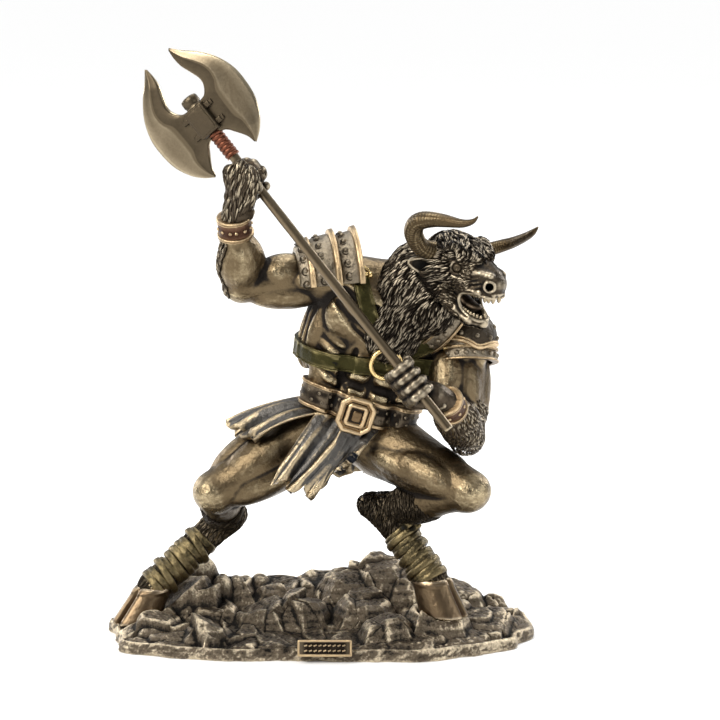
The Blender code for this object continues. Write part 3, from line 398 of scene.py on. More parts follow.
def smooth_over(points, faces, values, rounds):
    """Values averaged with those of neighbouring points, a number of times."""
    pairs = np.concatenate([faces[:, [0, 1]], faces[:, [1, 2]], faces[:, [2, 3]], faces[:, [3, 0]]])
    ends = np.concatenate([pairs[:, 0], pairs[:, 1]])
    others = np.concatenate([pairs[:, 1], pairs[:, 0]])
    count = len(points)
    degree = np.maximum(np.bincount(ends, minlength=count), 1)
    for _ in range(rounds):
        values = np.stack(
            [0.5 * v + 0.5 * np.bincount(ends, weights=v[others], minlength=count) / degree for v in values.T], -1
        )
    return values


def point_normals(points, faces):
    """Outward directions at points, from the crossed diagonals of the faces round them."""
    a, b, c, d = (points[faces[:, i]] for i in range(4))
    normals = np.cross(c - a, d - b)
    total = np.stack(
        [sum(np.bincount(faces[:, k], weights=normals[:, i], minlength=len(points)) for k in range(4))
         for i in range(3)],
        -1,
    )
    return unit(total)


def relief_of(points, faces, fine, broad):
    """How far each point stands out of the smoothed surface, near 0 in hollows and 1 on ridges."""
    normals = point_normals(points, faces)
    total = np.full(len(points), 0.5)
    calm = 1.4 if broad[0] else 1
    for rounds, reach in (fine, broad):
        if rounds:
            away = dot(points - smooth_over(points, faces, points, rounds), normals)
            total += 0.5 * np.tanh(away / reach) / calm
    return np.clip(total, 0, 1)


def add_piece(name, shape, look, slot=None, node="minotaur", relief=None, fine=(3, 0.08), broad=(20, 0.5)):
    """Puts a shape given in millimetres into the scene, with its relief as a point attribute. The slot
    is not used."""
    points, faces = shape
    points = np.asarray(points, float).reshape(-1, 3)
    faces = outward(points, np.asarray(faces))
    if relief is None:
        relief = relief_of(points, faces, fine, broad)
    mesh = bpy.data.meshes.new(name)
    mesh.vertices.add(len(points))
    mesh.vertices.foreach_set("co", (points * MM).astype(np.float32).ravel())
    mesh.loops.add(faces.size)
    mesh.loops.foreach_set("vertex_index", faces.astype(np.int32).ravel())
    mesh.polygons.add(len(faces))
    mesh.polygons.foreach_set("loop_start", np.arange(0, faces.size, 4, dtype=np.int32))
    mesh.polygons.foreach_set("use_smooth", np.full(len(faces), True))
    layer = mesh.attributes.new("relief", "FLOAT", "POINT")
    layer.data.foreach_set("value", np.asarray(relief, np.float32).ravel())
    mesh.update(calc_edges=True)
    mesh.validate()
    mesh.materials.append(FINISHES[look])
    obj = bpy.data.objects.new(name, mesh)
    bpy.context.scene.collection.objects.link(obj)
    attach(obj, "root")
    slot or LOOKS[look][1]
    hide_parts(node)
    return obj


# Grids of two parameters.


def smooth_line(points, steps=10):
    """A Catmull-Rom curve through points."""
    points = np.asarray(points, float)
    ends = np.concatenate([[2 * points[0] - points[1]], points, [2 * points[-1] - points[-2]]])
    t = np.linspace(0, 1, steps, endpoint=False)[None, :, None]
    p0, p1, p2, p3 = (ends[k : len(ends) - 3 + k, None] for k in range(4))
    line = 0.5 * (2 * p1 + (p2 - p0) * t + (2 * p0 - 5 * p1 + 4 * p2 - p3) * t**2 + (3 * p1 - p0 - 3 * p2 + p3)
                  * t**3)
    return np.concatenate([line.reshape(-1, points.shape[1]), points[-1:]])


def lengths_along(line):
    """The length of a line up to each of its points."""
    return np.concatenate([[0], np.cumsum(np.linalg.norm(np.diff(line, axis=0), axis=1))])


def sampled(line, lengths, wanted):
    """Points of a line at wanted lengths."""
    return np.stack([np.interp(wanted, lengths, column) for column in line.T], -1)


def respaced(line, count):
    """Points at even distances along a line."""
    lengths = lengths_along(line)
    return sampled(line, lengths, np.linspace(0, lengths[-1], count))


def carried_frames(path, start=(0, 0, 1), closed=False):
    """Two directions square to a path at each of its points, turned as little as may be."""
    path = np.asarray(path, float)
    if closed:
        tangent = unit(np.roll(path, -1, 0) - np.roll(path, 1, 0))
    else:
        tangent = unit(np.gradient(path, axis=0))
    side = np.asarray(start, float)
    sides = []
    for direction in tangent:
        side = unit(side - direction * side.dot(direction))
        sides.append(side)
    sides = np.array(sides)
    return sides, np.cross(tangent, sides)


def tube(path, radii, segments=16, start=(0, 0, 1), closed=False, squash=1.0):
    """A round or oval profile carried along a path; open ends narrow to a point."""
    side, other = carried_frames(path, start, closed)
    turn = full_turn(segments)
    if np.ndim(radii) < 2:
        radii = np.broadcast_to(np.asarray(radii, float), len(path))[:, None]
    ring = (
        np.asarray(path)[:, None]
        + side[:, None] * (radii * np.cos(turn))[..., None]
        + other[:, None] * (radii * squash * np.sin(turn))[..., None]
    )
    if closed:
        return ring.reshape(-1, 3), grid_faces(len(path), segments, True, True)
    tips = [end.mean(1, keepdims=True) * 0.97 + end * 0.03 for end in (ring[:1], ring[-1:])]
    return capped(np.concatenate([tips[0], ring, tips[1]]))


def capped(rings):
    """A grid of closed rings whose two ends are filled by folding each end ring on itself."""
    count, segments = rings.shape[:2]
    faces = [grid_faces(count, segments, False, True)]
    half = segments // 2
    for row, turned in ((0, False), (count - 1, True)):
        k = np.arange(half - 1)
        fill = np.stack([k, k + 1, segments - 2 - k, segments - 1 - k], -1) + row * segments
        faces.append(fill if turned else fill[:, ::-1])
    return rings.reshape(-1, 3), np.concatenate(faces)


def slab(outer, inner):
    """A closed skin between two equal grids of points."""
    return capped(np.concatenate([outer, inner[:, ::-1]], axis=1))


def domes(centres, normals, radius, height=0.6, segments=10, rings=4):
    """Round studs: rings of a squashed ball that shrink towards the top, at each centre."""
    centres, normals = np.atleast_2d(centres), unit(np.atleast_2d(normals))
    side = unit(np.cross(normals, normals[:, [1, 2, 0]] + 0.31))
    other = np.cross(normals, side)
    lift = np.radians(np.linspace(-40, 84, rings + 1))
    turn = full_turn(segments)
    ring = (
        side[:, None, None] * (np.cos(lift)[:, None] * np.cos(turn))[None, ..., None]
        + other[:, None, None] * (np.cos(lift)[:, None] * np.sin(turn))[None, ..., None]
        + normals[:, None, None] * (height * np.sin(lift)[:, None] + 0 * turn)[None, ..., None]
    ) * radius + centres[:, None, None]
    return merged([capped(one) for one in ring])


def studded(rows, radius, height):
    """Studs on several rows of places, each row with its outward directions."""
    return domes(*(np.concatenate(part) for part in zip(*rows)), radius, height)


def strands(clay, roots, flow, length, width, lift, seed=1, steps=6):
    """Hair tufts: from each root a path runs along the flow, held to the skin, rising to the lift and
    dipping at its tip, and carries a four-sided profile that swells and then narrows."""
    draw = np.random.default_rng(seed)
    count = len(roots)
    length = length * draw.uniform(0.7, 1.25, count)[:, None]
    width = width * draw.uniform(0.75, 1.25, count)
    points, path = np.array(roots), []
    for step in range(steps):
        share = step / (steps - 1)
        height = lift * np.sin(np.pi * min(1, share + 0.12)) * (0.8 + 0.4 * draw.random(count)) - 0.12
        points = clay.settle(points, height, 3 if step == 0 else 2)
        path.append(points)
        way = unit(flow(points))
        skin = clay.normal(points)
        swirl = np.cross(skin, way) * (0.55 * noise(points, 5.0, seed, 2) + 0.18 * draw.normal(size=count)
                                * share)[:, None]
        way = way + swirl
        way = unit(way - skin * dot(way, skin)[:, None])
        points = points + way * length / (steps - 1)
    path = np.stack(path, 1)
    skin = clay.normal(path)
    tangent = unit(np.gradient(path, axis=1))
    across = unit(np.cross(tangent, skin))
    share = np.linspace(0, 1, steps)
    swell = np.sqrt(np.clip(1 - share**1.6, 0, 1)) * (0.75 + 0.5 * np.sin(np.pi * share)) + 0.04
    half = (width[:, None] * swell)[..., None]
    ring = np.stack([path + across * half, path + skin * half * 0.75, path - across * half,
                     path - skin * half * 0.5], 2)
    k = np.arange(count)[:, None] * steps * 4
    body = grid_faces(steps, 4, False, True)
    ends = np.array([[3, 2, 1, 0], [4 * steps - 4, 4 * steps - 3, 4 * steps - 2, 4 * steps - 1]])
    faces = (k[..., None] + np.concatenate([body, ends])[None]).reshape(-1, 4)
    tint = np.clip(0.26 + 0.5 * np.sin(np.pi * share)[None] * draw.uniform(0.2, 1.3, count)[:, None], 0, 1)
    relief = np.repeat(tint, 4).reshape(count, steps, 4)
    relief[..., 1] += 0.25
    relief[..., 3] -= 0.3
    return (ring.reshape(-1, 3), faces), np.clip(relief, 0, 1).ravel()


def strap(ground, out, closed, profile, depth=1.0):
    """A band with a section: heights over the ground for shares of its width, closed underneath."""
    places, heights = profile
    last = ground.shape[1] - 1
    index = places * last
    low = np.clip(index.astype(int), 0, last - 1)
    part = (index - low)[None, :, None]
    base = ground[:, low] * (1 - part) + ground[:, low + 1] * part
    loop = np.concatenate([base + out[:, :1] * heights[None, :, None], (base - out[:, :1] * depth)[:, ::-1]],
                          axis=1)
    return (loop.reshape(-1, 3), grid_faces(*loop.shape[:2], True, True)) if closed else capped(loop)


def section(low, high, height, crown=0.0):
    """Heights over part of a band's width, with round shoulders and a crowned middle."""
    shares = np.array((0, 0.015, 0.06, 0.14, 0.3, 0.5, 0.7, 0.86, 0.94, 0.985, 1))
    inward = np.minimum(np.minimum(shares, 1 - shares) / 0.14, 1)
    return low + (high - low) * shares, height * np.sqrt(1 - (1 - inward) ** 2) + crown * np.sin(np.pi * shares)


def both_rims(band, low, high, height, depth):
    """Raised rims along the two edges of a band."""
    return [strap(*band, section(*ends, height), depth) for ends in ((low, high), (1 - high, 1 - low))]


# Shader maths.


class Value:
    """A socket in arithmetic: an operator on numbers adds a Math node."""

    def __init__(self, tree, socket):
        self.tree = tree
        self.socket = socket

    def maths(self, operation, first, second=0.0, clamp=False):
        node = self.tree.nodes.new("ShaderNodeMath")
        node.operation = operation
        node.use_clamp = clamp
        for socket, value in zip(node.inputs, (first, second)):
            if isinstance(value, Value):
                self.tree.links.new(value.socket, socket)
            else:
                socket.default_value = value
        return Value(self.tree, node.outputs[0])

    def __add__(self, other):
        return self.maths("ADD", self, other)

    def __sub__(self, other):
        return self.maths("SUBTRACT", self, other)

    def __rsub__(self, other):
        return self.maths("SUBTRACT", other, self)

    def __mul__(self, other):
        return self.maths("MULTIPLY", self, other)

    def __truediv__(self, other):
        return self.maths("DIVIDE", self, other)

    __radd__ = __add__
    __rmul__ = __mul__

    def clamped(self):
        return self.maths("ADD", self, 0.0, clamp=True)

    def smooth(self, low, high):
        """0 below low, 1 above high, smooth between."""
        share = ((self - low) / (high - low)).clamped()
        return share * share * (3 - 2 * share)


class Finish:
    """A material being put together."""

    def __init__(self, name):
        self.material = bpy.data.materials.new(name)
        self.material.use_nodes = True
        self.tree = self.material.node_tree
        self.shader = self.tree.nodes["Principled BSDF"]
        self.place = self.node("ShaderNodeTexCoord").outputs["Object"]

    def node(self, kind, settings=None, **sockets):
        """Any node: its settings first, then values or links for its sockets, by name with _ for a space."""
        made = self.tree.nodes.new(kind)
        for name, value in (settings or {}).items():
            setattr(made, name, value)
        for name, value in sockets.items():
            socket = next(s for s in made.inputs if s.identifier == name or s.name == name.replace("_", " "))
            self.feed(socket, value)
        return made

    def feed(self, socket, value):
        if isinstance(value, Value):
            self.tree.links.new(value.socket, socket)
        elif isinstance(value, bpy.types.NodeSocket):
            self.tree.links.new(value, socket)
        else:
            socket.default_value = value

    def attribute(self, name):
        return Value(self.tree, self.node("ShaderNodeAttribute", {"attribute_name": name}).outputs["Fac"])

    def noise(self, scale, detail, rough=0.55):
        made = self.node("ShaderNodeTexNoise", {}, Vector=self.place, Scale=scale, Detail=detail, Roughness=rough)
        return Value(self.tree, made.outputs["Fac"])

    def mix(self, share, first, second):
        made = self.node("ShaderNodeMix", {"data_type": "RGBA"}, Factor_Float=share, A_Color=first, B_Color=second)
        return made.outputs[2]

    def bump(self, height, strength, distance):
        made = self.node("ShaderNodeBump", {}, Height=height, Strength=strength, Distance=distance)
        self.tree.links.new(made.outputs[0], self.shader.inputs["Normal"])

    def set(self, **sockets):
        for name, value in sockets.items():
            self.feed(self.shader.inputs[name.replace("_", " ")], value)


def colour(hexed):
    """A linear colour with alpha, from a screen colour as six hex digits."""
    screen = np.array([int(hexed[k : k + 2], 16) for k in (0, 2, 4)]) / 255
    linear = np.where(screen <= 0.04045, screen / 12.92, ((screen + 0.055) / 1.055) ** 2.4)
    return (*(float(c) for c in linear), 1.0)


def cast_metal(name, hollow, body, worn_and_highlight, rough, low, high, grain=0.25, tarnish=0.5, metal=(0.75, 1.0)):
    """Cold-cast metal with a wash: dark and dull in the hollows, partly patina and partly painted shade, and bare
    and bright where the relief is high, partly worn metal and partly a painted highlight.
    The point attribute relief, broken up by noise, says which."""
    made = Finish(name)
    relief = made.attribute("relief")
    cloud = made.noise(90.0, 4.0)
    speck = made.noise(900.0, 3.0, 0.6)
    place = (relief + (cloud - 0.5) * 0.35 * tarnish + (speck - 0.5) * 0.22 * tarnish).clamped()
    # deep picks the hollow colour, patina together with painted shade; bare picks the bright colour, wear together
    # with a painted highlight.
    deep = 1 - place.smooth(low - 0.22, low + 0.16)
    bare = place.smooth(high - 0.2, high + 0.2)
    tone = made.mix(bare, body, worn_and_highlight)
    tone = made.mix(deep, tone, hollow)
    made.set(
        Base_Color=tone,
        Roughness=(rough[1] + (rough[0] - rough[1]) * deep + (speck - 0.5) * 0.12 + (1 - bare) * 0.08).clamped(),
        Metallic=(metal[1] - (metal[1] - metal[0]) * deep).clamped(),
    )
    made.bump(made.noise(1500.0, 3.0, 0.6) * 0.5 + made.noise(300.0, 4.0) * 1.6, grain, 0.0009)
    return made.material


# Each look: its material, its slot in the record, the colour of its hollows, which is patina and painted shade,
#  its body colour, the colour of its worn edges, which is wear and a painted highlight, its roughness in hollows
#  and on edges, where the relief turns from hollow to body and to bare, its grain, its tarnish, and how metallic it
#  is in hollows and elsewhere.
LOOKS = {
    "bronze": ("figure_bronze", "figure_bronze", "1a140e", "62543f", "c9b894", (0.56, 0.22), 0.4, 0.96, 0.5, 0.8),
    "face": ("face_bronze", "figure_bronze", "0d0a08", "3a3228", "b6a890", (0.6, 0.32), 0.4, 0.9, 0.4),
    "hide": ("hide_bronze", "figure_bronze", "0f0d0a", "2b251d", "776b59", (0.6, 0.38), 0.4, 0.9, 0.4),
    "hand": ("hand_bronze", "figure_bronze", "14100c", "463d32", "b8ab93", (0.58, 0.32), 0.4, 0.88, 0.4),
    "hoof": ("hoof_bronze", "figure_bronze", "1a140e", "665642", "c2b196", (0.5, 0.24), 0.3, 0.95, 0.3, 0.7),
    "wrap": ("wrap_gold", "strap_gold", "0c0a06", "28241a", "968560", (0.55, 0.3), 0.46, 1.0, 0.5, 1.2),
    "fur": ("fur_bronze", "figure_bronze", "080706", "1d1813", "b0a38e", (0.6, 0.34), 0.44, 0.88),
    "horn": ("horn_bronze", "figure_bronze", "191209", "483c2b", "b5a27f", (0.5, 0.3), 0.42, 0.94, 0.5),
    "trim": ("trim_gold", "trim_gold", "24170d", "6b5840", "c9b08a", (0.5, 0.3), 0.34, 0.9, 0.5, 0.9),
    "strap": ("strap_gold", "strap_gold", "0d0c06", "33301b", "8c8058", (0.55, 0.32), 0.28, 0.92, 0.5),
    "leather": ("leather_bronze", "leather_bronze", "0d0b09", "241f1a", "7d705e", (0.6, 0.42), 0.4, 1.0, 0.4),
    "cuff": ("cuff_leather", "leather_bronze", "120b08", "3b271e", "8a6c56", (0.6, 0.42), 0.38, 1.0, 0.4),
    "plate": ("plate_bronze", "leather_bronze", "0d0b09", "3a332a", "a89b85", (0.55, 0.34), 0.42, 1.0, 0.6, 1.3),
    "cloth": ("cloth_bronze", "cloth_bronze", "171a21", "55524e", "c0ac8a", (0.6, 0.3), 0.38, 0.92, 0.6, 1.6),
    "rock": ("rock_bronze", "rock_bronze", "13100c", "5d5346", "cfc0a5", (0.6, 0.28), 0.4, 0.82, 1.4, 2.8),
    "axe": ("axe_bronze", "axe_bronze", "2c261e", "5f5443", "b0a288", (0.4, 0.28), 0.16, 0.85, 0.05, 0.4, (1, 1)),
    "bar": ("bar_bronze", "axe_bronze", "2c261e", "6b5e4b", "b0a288", (0.4, 0.24), 0.1, 0.95, 0.1, 0.4, (1, 1)),
    "iron": ("socket_iron", "figure_bronze", "12100d", "4a4134", "a09279", (0.55, 0.34), 0.34, 0.86),
    "grip": ("grip_copper", "grip_copper", "1f0f09", "684030", "b98763", (0.5, 0.34), 0.34, 0.8),
    "gold": ("ring_gold", "trim_gold", "2c2010", "7d6538", "d9bd84", (0.4, 0.26), 0.1, 0.66),
    "dark": ("mouth_dark", "figure_bronze", "060504", "120e0b", "4b4034", (0.6, 0.45), 0.4, 0.9),
}
FINISHES = {}


def make_finishes(settings):
    """A material for each look; the bodies of the figure and the axe take the user's colours."""
    own = {"bronze": settings.bronze, "axe": settings.axe}
    for look, (name, _, hollow, body, worn_and_highlight, *wear) in LOOKS.items():
        body = (*own[look], 1) if look in own else colour(body)
        FINISHES[look] = cast_metal(name, colour(hollow), body, colour(worn_and_highlight), *wear)


# The sculpted forms.


def furrow(body, lines, width=0.55):
    """Cuts narrow valleys between muscles: each line, a little wavy, is laid on the skin, and a thin
    worm is taken away along it."""
    for number, line in enumerate(lines):
        path = respaced(smooth_line(np.array(line)), 26)
        path = path + drift(path, 9, 10 * number + 1)
        path = body.settle(path, 0.1, 8)
        body.chain(path, width * np.sin(np.pi * np.linspace(0.12, 0.9, 26)) ** 0.7, 2.1, True)


def sculpt_trunk():
    """Pelvis, ribs, shoulders and both arms: melted ellipsoids and spindles along the muscles."""
    body = Clay((-66, -56, 86), (98, 42, 236), 0.7)
    body.lump(torso(0, 0, 0), (25, 17, 15), pelvis.axes, 5)
    body.lump(torso(0, 0, 20), (23.5, 16.5, 20), pelvis.axes, 5)
    body.lump(torso(0, 0, 50), (31, 19.5, 30), chest.axes, 5)
    body.lump(torso(0, -2, 68), (32, 17, 15), chest.axes, 5)
    for side in (-1, 1):
        spot = mirrored(torso, side)
        body.lump(spot(27, -4, 46), (9, 13, 24), chest.axes, 3)
        body.lump(spot(16, -14, 58), (15, 8.5, 17), chest.axes, 3)
        body.limb(spot(7, -12, 4), spot(7, -15, 56), 7.5, 7, 2)
        body.lump(spot(12, -10, -5), (13, 13, 14), pelvis.axes, 3)
        body.muscle(spot(20, 8, 6), spot(25, 5, 42), 6.5, 2)
        for row in range(5):
            high = 30 - 5.6 * row
            body.muscle(spot(27, 6, high + 7), spot(15.5, 15, high - 2), 3.5, 0.9)
        for row in range(4):
            lower = 47 - 6.5 * row
            body.muscle(spot(31, 1, lower + 4), spot(18, 16, lower - 4), 3.9, 0.6)
            body.muscle(spot(33, -9 + 3.5 * row, 24 + 2 * row), spot(30, -4 + 2.5 * row, 64), 3.2, 0.7)
        for row, (high, tall) in enumerate(((12, 5.2), (22, 5.2), (32, 5.0), (40, 4.0))):
            body.lump(spot(6.5, 14.9, high), (6.7, 4.6, tall + 0.3), pelvis.axes if row < 2 else chest.axes, 1.4)
        body.lump(spot(15.5, 11.5, 58), (17, 8.0, 13.5), chest.axes, 1.8)
        for row in range(6):
            body.muscle(spot(4, 17.2, 47 + 4.4 * row), spot(31, 4.5, 63 + 1.8 * row), 5.4, 0.8)
        body.muscle(spot(3, 14, 72), spot(30, 3, 78), 3.0, 1.6)
        for row in range(3):
            body.muscle(spot(6, -18, 30 + 14 * row), spot(29, -7, 44 + 12 * row), 7, 1.6)
    body.chain([torso(0, 23.5, 45), torso(0, 24, 56), torso(0, 21, 68)], (1.4, 1.6, 1.2), 2.4, True)
    body.chain([torso(0, 21, 6), torso(0, 21.8, 24), torso(0, 21.5, 42)], (1.0, 1.1, 0.9), 1.8, True)
    body.chain([torso(0, -19, 0), torso(0, -22, 30), torso(0, -23, 66)], (1.6, 1.8, 1.2), 2.6, True)
    for side in (-1, 1):
        spot = mirrored(torso, side)
        lines = [(spot(4, 23, 48 + 4.4 * k), spot(17, 21, 54 + 3.6 * k), spot(29, 12, 63 + 2 * k))
                 for k in range(5)]
        lines += [(spot(1.5, 21, high), spot(12.5, 18, high + side)) for high in (17, 27, 36)]
        lines.append((spot(13, 18, 8), spot(13.6, 19, 28), spot(12.5, 19, 44)))
        lines += [(spot(33, 4 - 4.5 * k, 22), spot(36, 2 - 4.5 * k, 44), spot(30, 1 - 4 * k, 68)) for k in range(5)]
        lines += [(spot(3, -24, high), spot(27, -17, high + 9)) for high in (36, 48, 60, 70)]
        furrow(body, lines)
    body.limb(at(40, -2, 160), NECK, 16, 13, 5)
    for side in SIDES:
        sculpt_arm(body, side)
    return body


def sculpt_arm(body, side):
    """Shoulder to wrist, along the muscles."""
    shoulder, elbow, wrist = SHOULDERS[side], ELBOWS[side], WRISTS[side]
    upper, fore = unit(elbow - shoulder), unit(wrist - elbow)
    bend = unit(fore - upper * fore.dot(upper))
    out = np.cross(upper, bend)
    thick = 13.2 if side == "right" else 12
    body.limb(NECK, shoulder, 13, 12, 4)
    body.ball(shoulder, 14.2, 3)
    body.limb(shoulder, elbow, 11.5, 8.4, 3)
    for turn in (-0.9, 0.1, 1.1):
        tilt = bend * np.cos(turn) - out * np.sin(turn)
        body.muscle(shoulder - upper * 9 + tilt * 6.4, shoulder + upper * 19 + tilt * 7, 6.8, 0.7)
    body.muscle(shoulder + bend * 4 + upper * 6, elbow + bend * 5 - upper * 6, 9.2, 0.8)
    body.muscle(shoulder + bend * 1 + out * 4, elbow + bend * 3 + out * 4, 6.6, 1.2)
    for turn in (-1, 1):
        body.muscle(shoulder - bend * 6 + out * 4 * turn, elbow - upper * 1 - bend * 4 + out * 2 * turn, 8.6, 0.7)
    if side == "left":
        body.muscle(shoulder + (-9, -4, -2), elbow + (-8, -4, 16), 9.6, 0.8)
    body.limb(elbow, elbow + (wrist - elbow) * 0.35, 8, thick - 3, 2.5)
    body.limb(elbow + (wrist - elbow) * 0.3, wrist, thick - 3, 5.4, 2.5)
    body.ball(elbow - bend * 2 + upper * 2, 6.0, 1.6)
    end = wrist - fore * 6
    body.muscle(elbow - upper * 6 + out * 4, end + out * 1, 9.2, 1.0)
    body.muscle(elbow - upper * 9 + out * 0.5 + bend * 2, end - upper * 1, 7.4, 0.9)
    body.muscle(elbow - upper * 2 - out * 1, end - out * 1, 9.2, 1.0)
    body.muscle(elbow + upper * 4 - out * 2, end + upper * 1, 7.4, 0.9)


def sculpt_legs():
    """Pelvis, thighs, shins, hocks and cannons."""
    body = Clay((-104, -52, 10), (104, 46, 136), 0.68)
    body.lump(torso(0, 0, 0), (25, 17, 15), pelvis.axes, 5)
    body.lump(torso(0, 0, 20), (23.5, 16.5, 20), pelvis.axes, 5)
    for turn in (-1, 1):
        body.lump(torso(turn * 12, -10, -5), (13, 13, 14), pelvis.axes, 3)
        body.muscle(torso(turn * 20, 8, 6), torso(turn * 25, 5, 42), 6.5, 2)
    for side in SIDES:
        hip, knee, hock, fetlock, sole = HIPS[side], KNEES[side], HOCKS[side], FETLOCKS[side], SOLES[side]
        thigh, shin, cannon = unit(knee - hip), unit(hock - knee), unit(fetlock - hock)
        front = unit(thigh * 0.6 - shin)
        out = unit(np.cross(thigh, front))
        body.limb(hip, knee, 17.5, 10.5, 4)
        body.muscle(hip + front * 8.6, knee + front * 3.4 - thigh * 5, 11.5, 0.7)
        for turn in (-1, 1):
            body.muscle(hip + thigh * 8 + out * turn * 9.6 + front * 3, knee + out * turn * 6 - thigh * 1, 9.8, 0.7)
            body.muscle(hip + out * turn * 7 - front * 9.6, knee + out * turn * 6 - front * 6, 9.6, 0.8)
            body.muscle(hip + out * turn * 12.8 - front * 2, knee + out * turn * 8.4 - front * 2 - thigh * 6, 7.4,
                        0.7)
            body.muscle(knee + out * turn * 5.6 - shin * 2, hock + out * turn * 2 - shin * 4, 6.6, 0.8)
        body.ball(knee + front * 3.5, 8.6, 1.6)
        body.limb(knee, hock, 9.6, 7.0, 3)
        body.muscle(knee - thigh * 3, hock + thigh * 2, 10.4, 1.6)
        body.muscle(knee - thigh * 7 + shin * 2, hock + thigh * 1 - shin * 3, 7.6, 1.2)
        heel = hock + shin * 6 - cannon * 4
        body.limb(hock, heel, 7.6, 6.2, 2)
        body.limb(heel, hock + cannon * 14 - front * 3, 3.2, 3.4, 2)
        body.chain((hock, hock + (fetlock - hock) * 0.45, fetlock), (7.8, 6.6, 7.6), 3)
        body.limb(fetlock, sole + np.array((0, 0, 9.0)), 6.4, 3.0, 2)
    return body


def sculpt_head():
    """Bull's head with an open mouth, the neck and the mass under the mane."""
    body = Clay((20, -58, 136), (112, 30, 236), 0.45)
    for centre, radii, axes in (
        (at(45, -7, 166), (18, 15, 21), chest.axes),
        (at(37, -12, 147), (14, 9, 15), chest.axes),
        (at(56, -14, 160), (11, 10, 13), chest.axes),
        (at(50, -6, 181), (13, 12, 10), head.axes),
    ):
        body.lump(centre, radii, axes, 5)
    body.lump(head(0, 0, 1.5), (12.6, 14, 12.6), head.axes, 4)
    body.lump(head(0, 8, 5), (11.4, 10, 8.6), head.axes, 3)
    body.limb(head(0, 8, 1), head(0, 17, 1.2), 9.2, 7.4, 3)
    body.lump(head(0, 21, 0.8), (7.8, 11.5, 6.0), head.axes, 3)
    body.limb(head(0, 12, 6.2), head(0, 26.5, 3.0), 4.6, 3.2, 2)
    body.lump(head(0, 28.2, -0.8), (6.6, 5.0, 4.5), head.axes, 1.6)
    body.lump(head(0, 30.4, -3.8), (5.4, 3.0, 2.0), head.axes, 1.0)
    body.limb(head(0, 10, -13.5), head(0, 18, -18.4), 6.0, 3.0, 2)
    for side in (-1, 1):
        spot = mirrored(head, side)
        body.limb(spot(10.4, 7, 9.6), spot(4.6, 17.5, 8.4), 3.6, 2.6, 1.4)
        body.limb(spot(6.4, 15.5, 7.2), spot(3.2, 19.5, 7.4), 1.4, 1.0, 0.8)
        body.limb(spot(10.2, 3, -2.6), spot(8.2, 18, -2.6), 4.6, 2.6, 1.6)
        body.limb(spot(7.9, 19, 3.0), spot(4.8, 28, 4.2), 1.6, 1.2, 3.0)
        body.limb(spot(9.8, -3, -5), spot(8.2, 6, -13), 6.6, 4.2, 2.4)
        body.chain([spot(8, 6, -13.4), spot(7.2, 15, -17.8), spot(5.6, 22.8, -20.4), head(0, 27.6, -20.8)],
                   (4.2, 2.8, 2.1, 2.1), 1.4)
        body.chain([spot(8.0, 14.5, -7.4), spot(7.8, 20, -6.0), spot(7.0, 26, -5.0), spot(3.6, 31.4, -5.0)],
                   (1.6, 1.6, 1.7, 1.5), 1.2)
    body.chain([head(0, 13, -12), head(0, 20, -12.6), head(0, 31, -12.2)], (4.2, 6.2, 6.6), 1.0, True)
    body.lump(head(0, 20, -12), (6.4, 9, 6.4), head.axes, 1.0, True)
    for side, from_front, width in ((-1, 22.3, 6.2), (1, 24.6, 4.8)):
        body.lump(head(side * 9.5, from_front, -12.6), (4.8, width, 6.4), head.axes, 1.0, True)
    for side in (-1, 1):
        spot = mirrored(head, side)
        rim = [spot(2.4, 32.6, -5.6), spot(6.0, 30.4, -5.9), spot(7.5, 25.6, -6.1), spot(8.2, 20.4, -7.2),
               spot(8.4, 16.8, -9.0), spot(8.2, 16.0, -12.4), spot(7.4, 18.8, -16.6),
               spot(6.0, 23.6, -18.9), spot(3.4, 26.8, -19.6), head(0, 28.4, -19.4)]
        rim = respaced(smooth_line(rim), 40)
        body.chain(rim, [0.75] * len(rim), 0.6)
        outer = head.way(side * 0.8, 0.6, 0.12)
        body.ball(spot(4.2, 28.6, -0.8), 3.3, 1.0)
        body.limb(spot(3.4, 27.8, -0.8), spot(6.6, 30.8, -0.7), 1.9, 2.3, 0.5, True)
        body.ring(spot(5.4, 29.6, -0.7), outer, 2.5, 0.55, blend=0.7)
        eye, look = eye_of(side)
        body.ball(eye + look * 1.2, 3.4, 1.6, True)
        for reach, wire in ((3.3, 0.75), (4.7, 0.55), (6.0, 0.45)):
            body.ring(eye + look * (1.5 - 0.28 * reach), look, reach, wire, 0, 360, 0.8)
        body.chain([spot(10.6, 6.5, 8.2), spot(10.8, 11, 8.0), spot(9.0, 15, 6.2)], (1.6, 1.7, 1.2), 0.9)
        for row in range(4):
            out, ahead, high = 9.6 - 0.3 * row, 15.8 + 0.8 * row, 1.4 - 1.9 * row
            wrinkle = [spot(out, ahead, high), spot(out - 1.2, ahead + 4, high + 0.6),
                       spot(out - 2.2, ahead + 7.6, high + 2.6)]
            body.chain(respaced(smooth_line(wrinkle), 8), [0.55] * 8, 0.8)
        sculpt_ear(body, side)
    return body


def eye_of(side):
    """Middle of an eye, and its line of sight."""
    return head(side * 9.5, 11.6, 2.4), head.way(side * 0.93, 0.36, 0.05)


def sculpt_ear(body, side):
    """A leaf that points out and back, hollow in front, with a rolled rim."""
    root, tip = head(side * 11.5, -3, -3.4), head(side * 21.5, -8.5, -1.6)
    length = np.linalg.norm(tip - root)
    facing = head.way(side * 0.55, 0.75, 0.1)
    place = Place((root + tip) / 2, facing, tip - root)
    body.lump(place.origin, (3.7, 2.2, length * 0.56), place.axes, 1.6)
    body.lump(place(0, 1.7, -0.5), (2.5, 1.5, length * 0.46), place.axes, 0.6, True)
    turn = np.linspace(0, 2 * np.pi, 25)
    half = length * 0.56
    rim = place(3.4 * np.sin(turn) * (1 - 0.35 * np.cos(turn)), 0.9 + 0 * turn, half * np.cos(turn) * 0.98)
    body.chain(rim, [0.42] * len(rim), 0.5)


FINGER_PITCH = 4.9
FINGER_RADIUS = 2.6
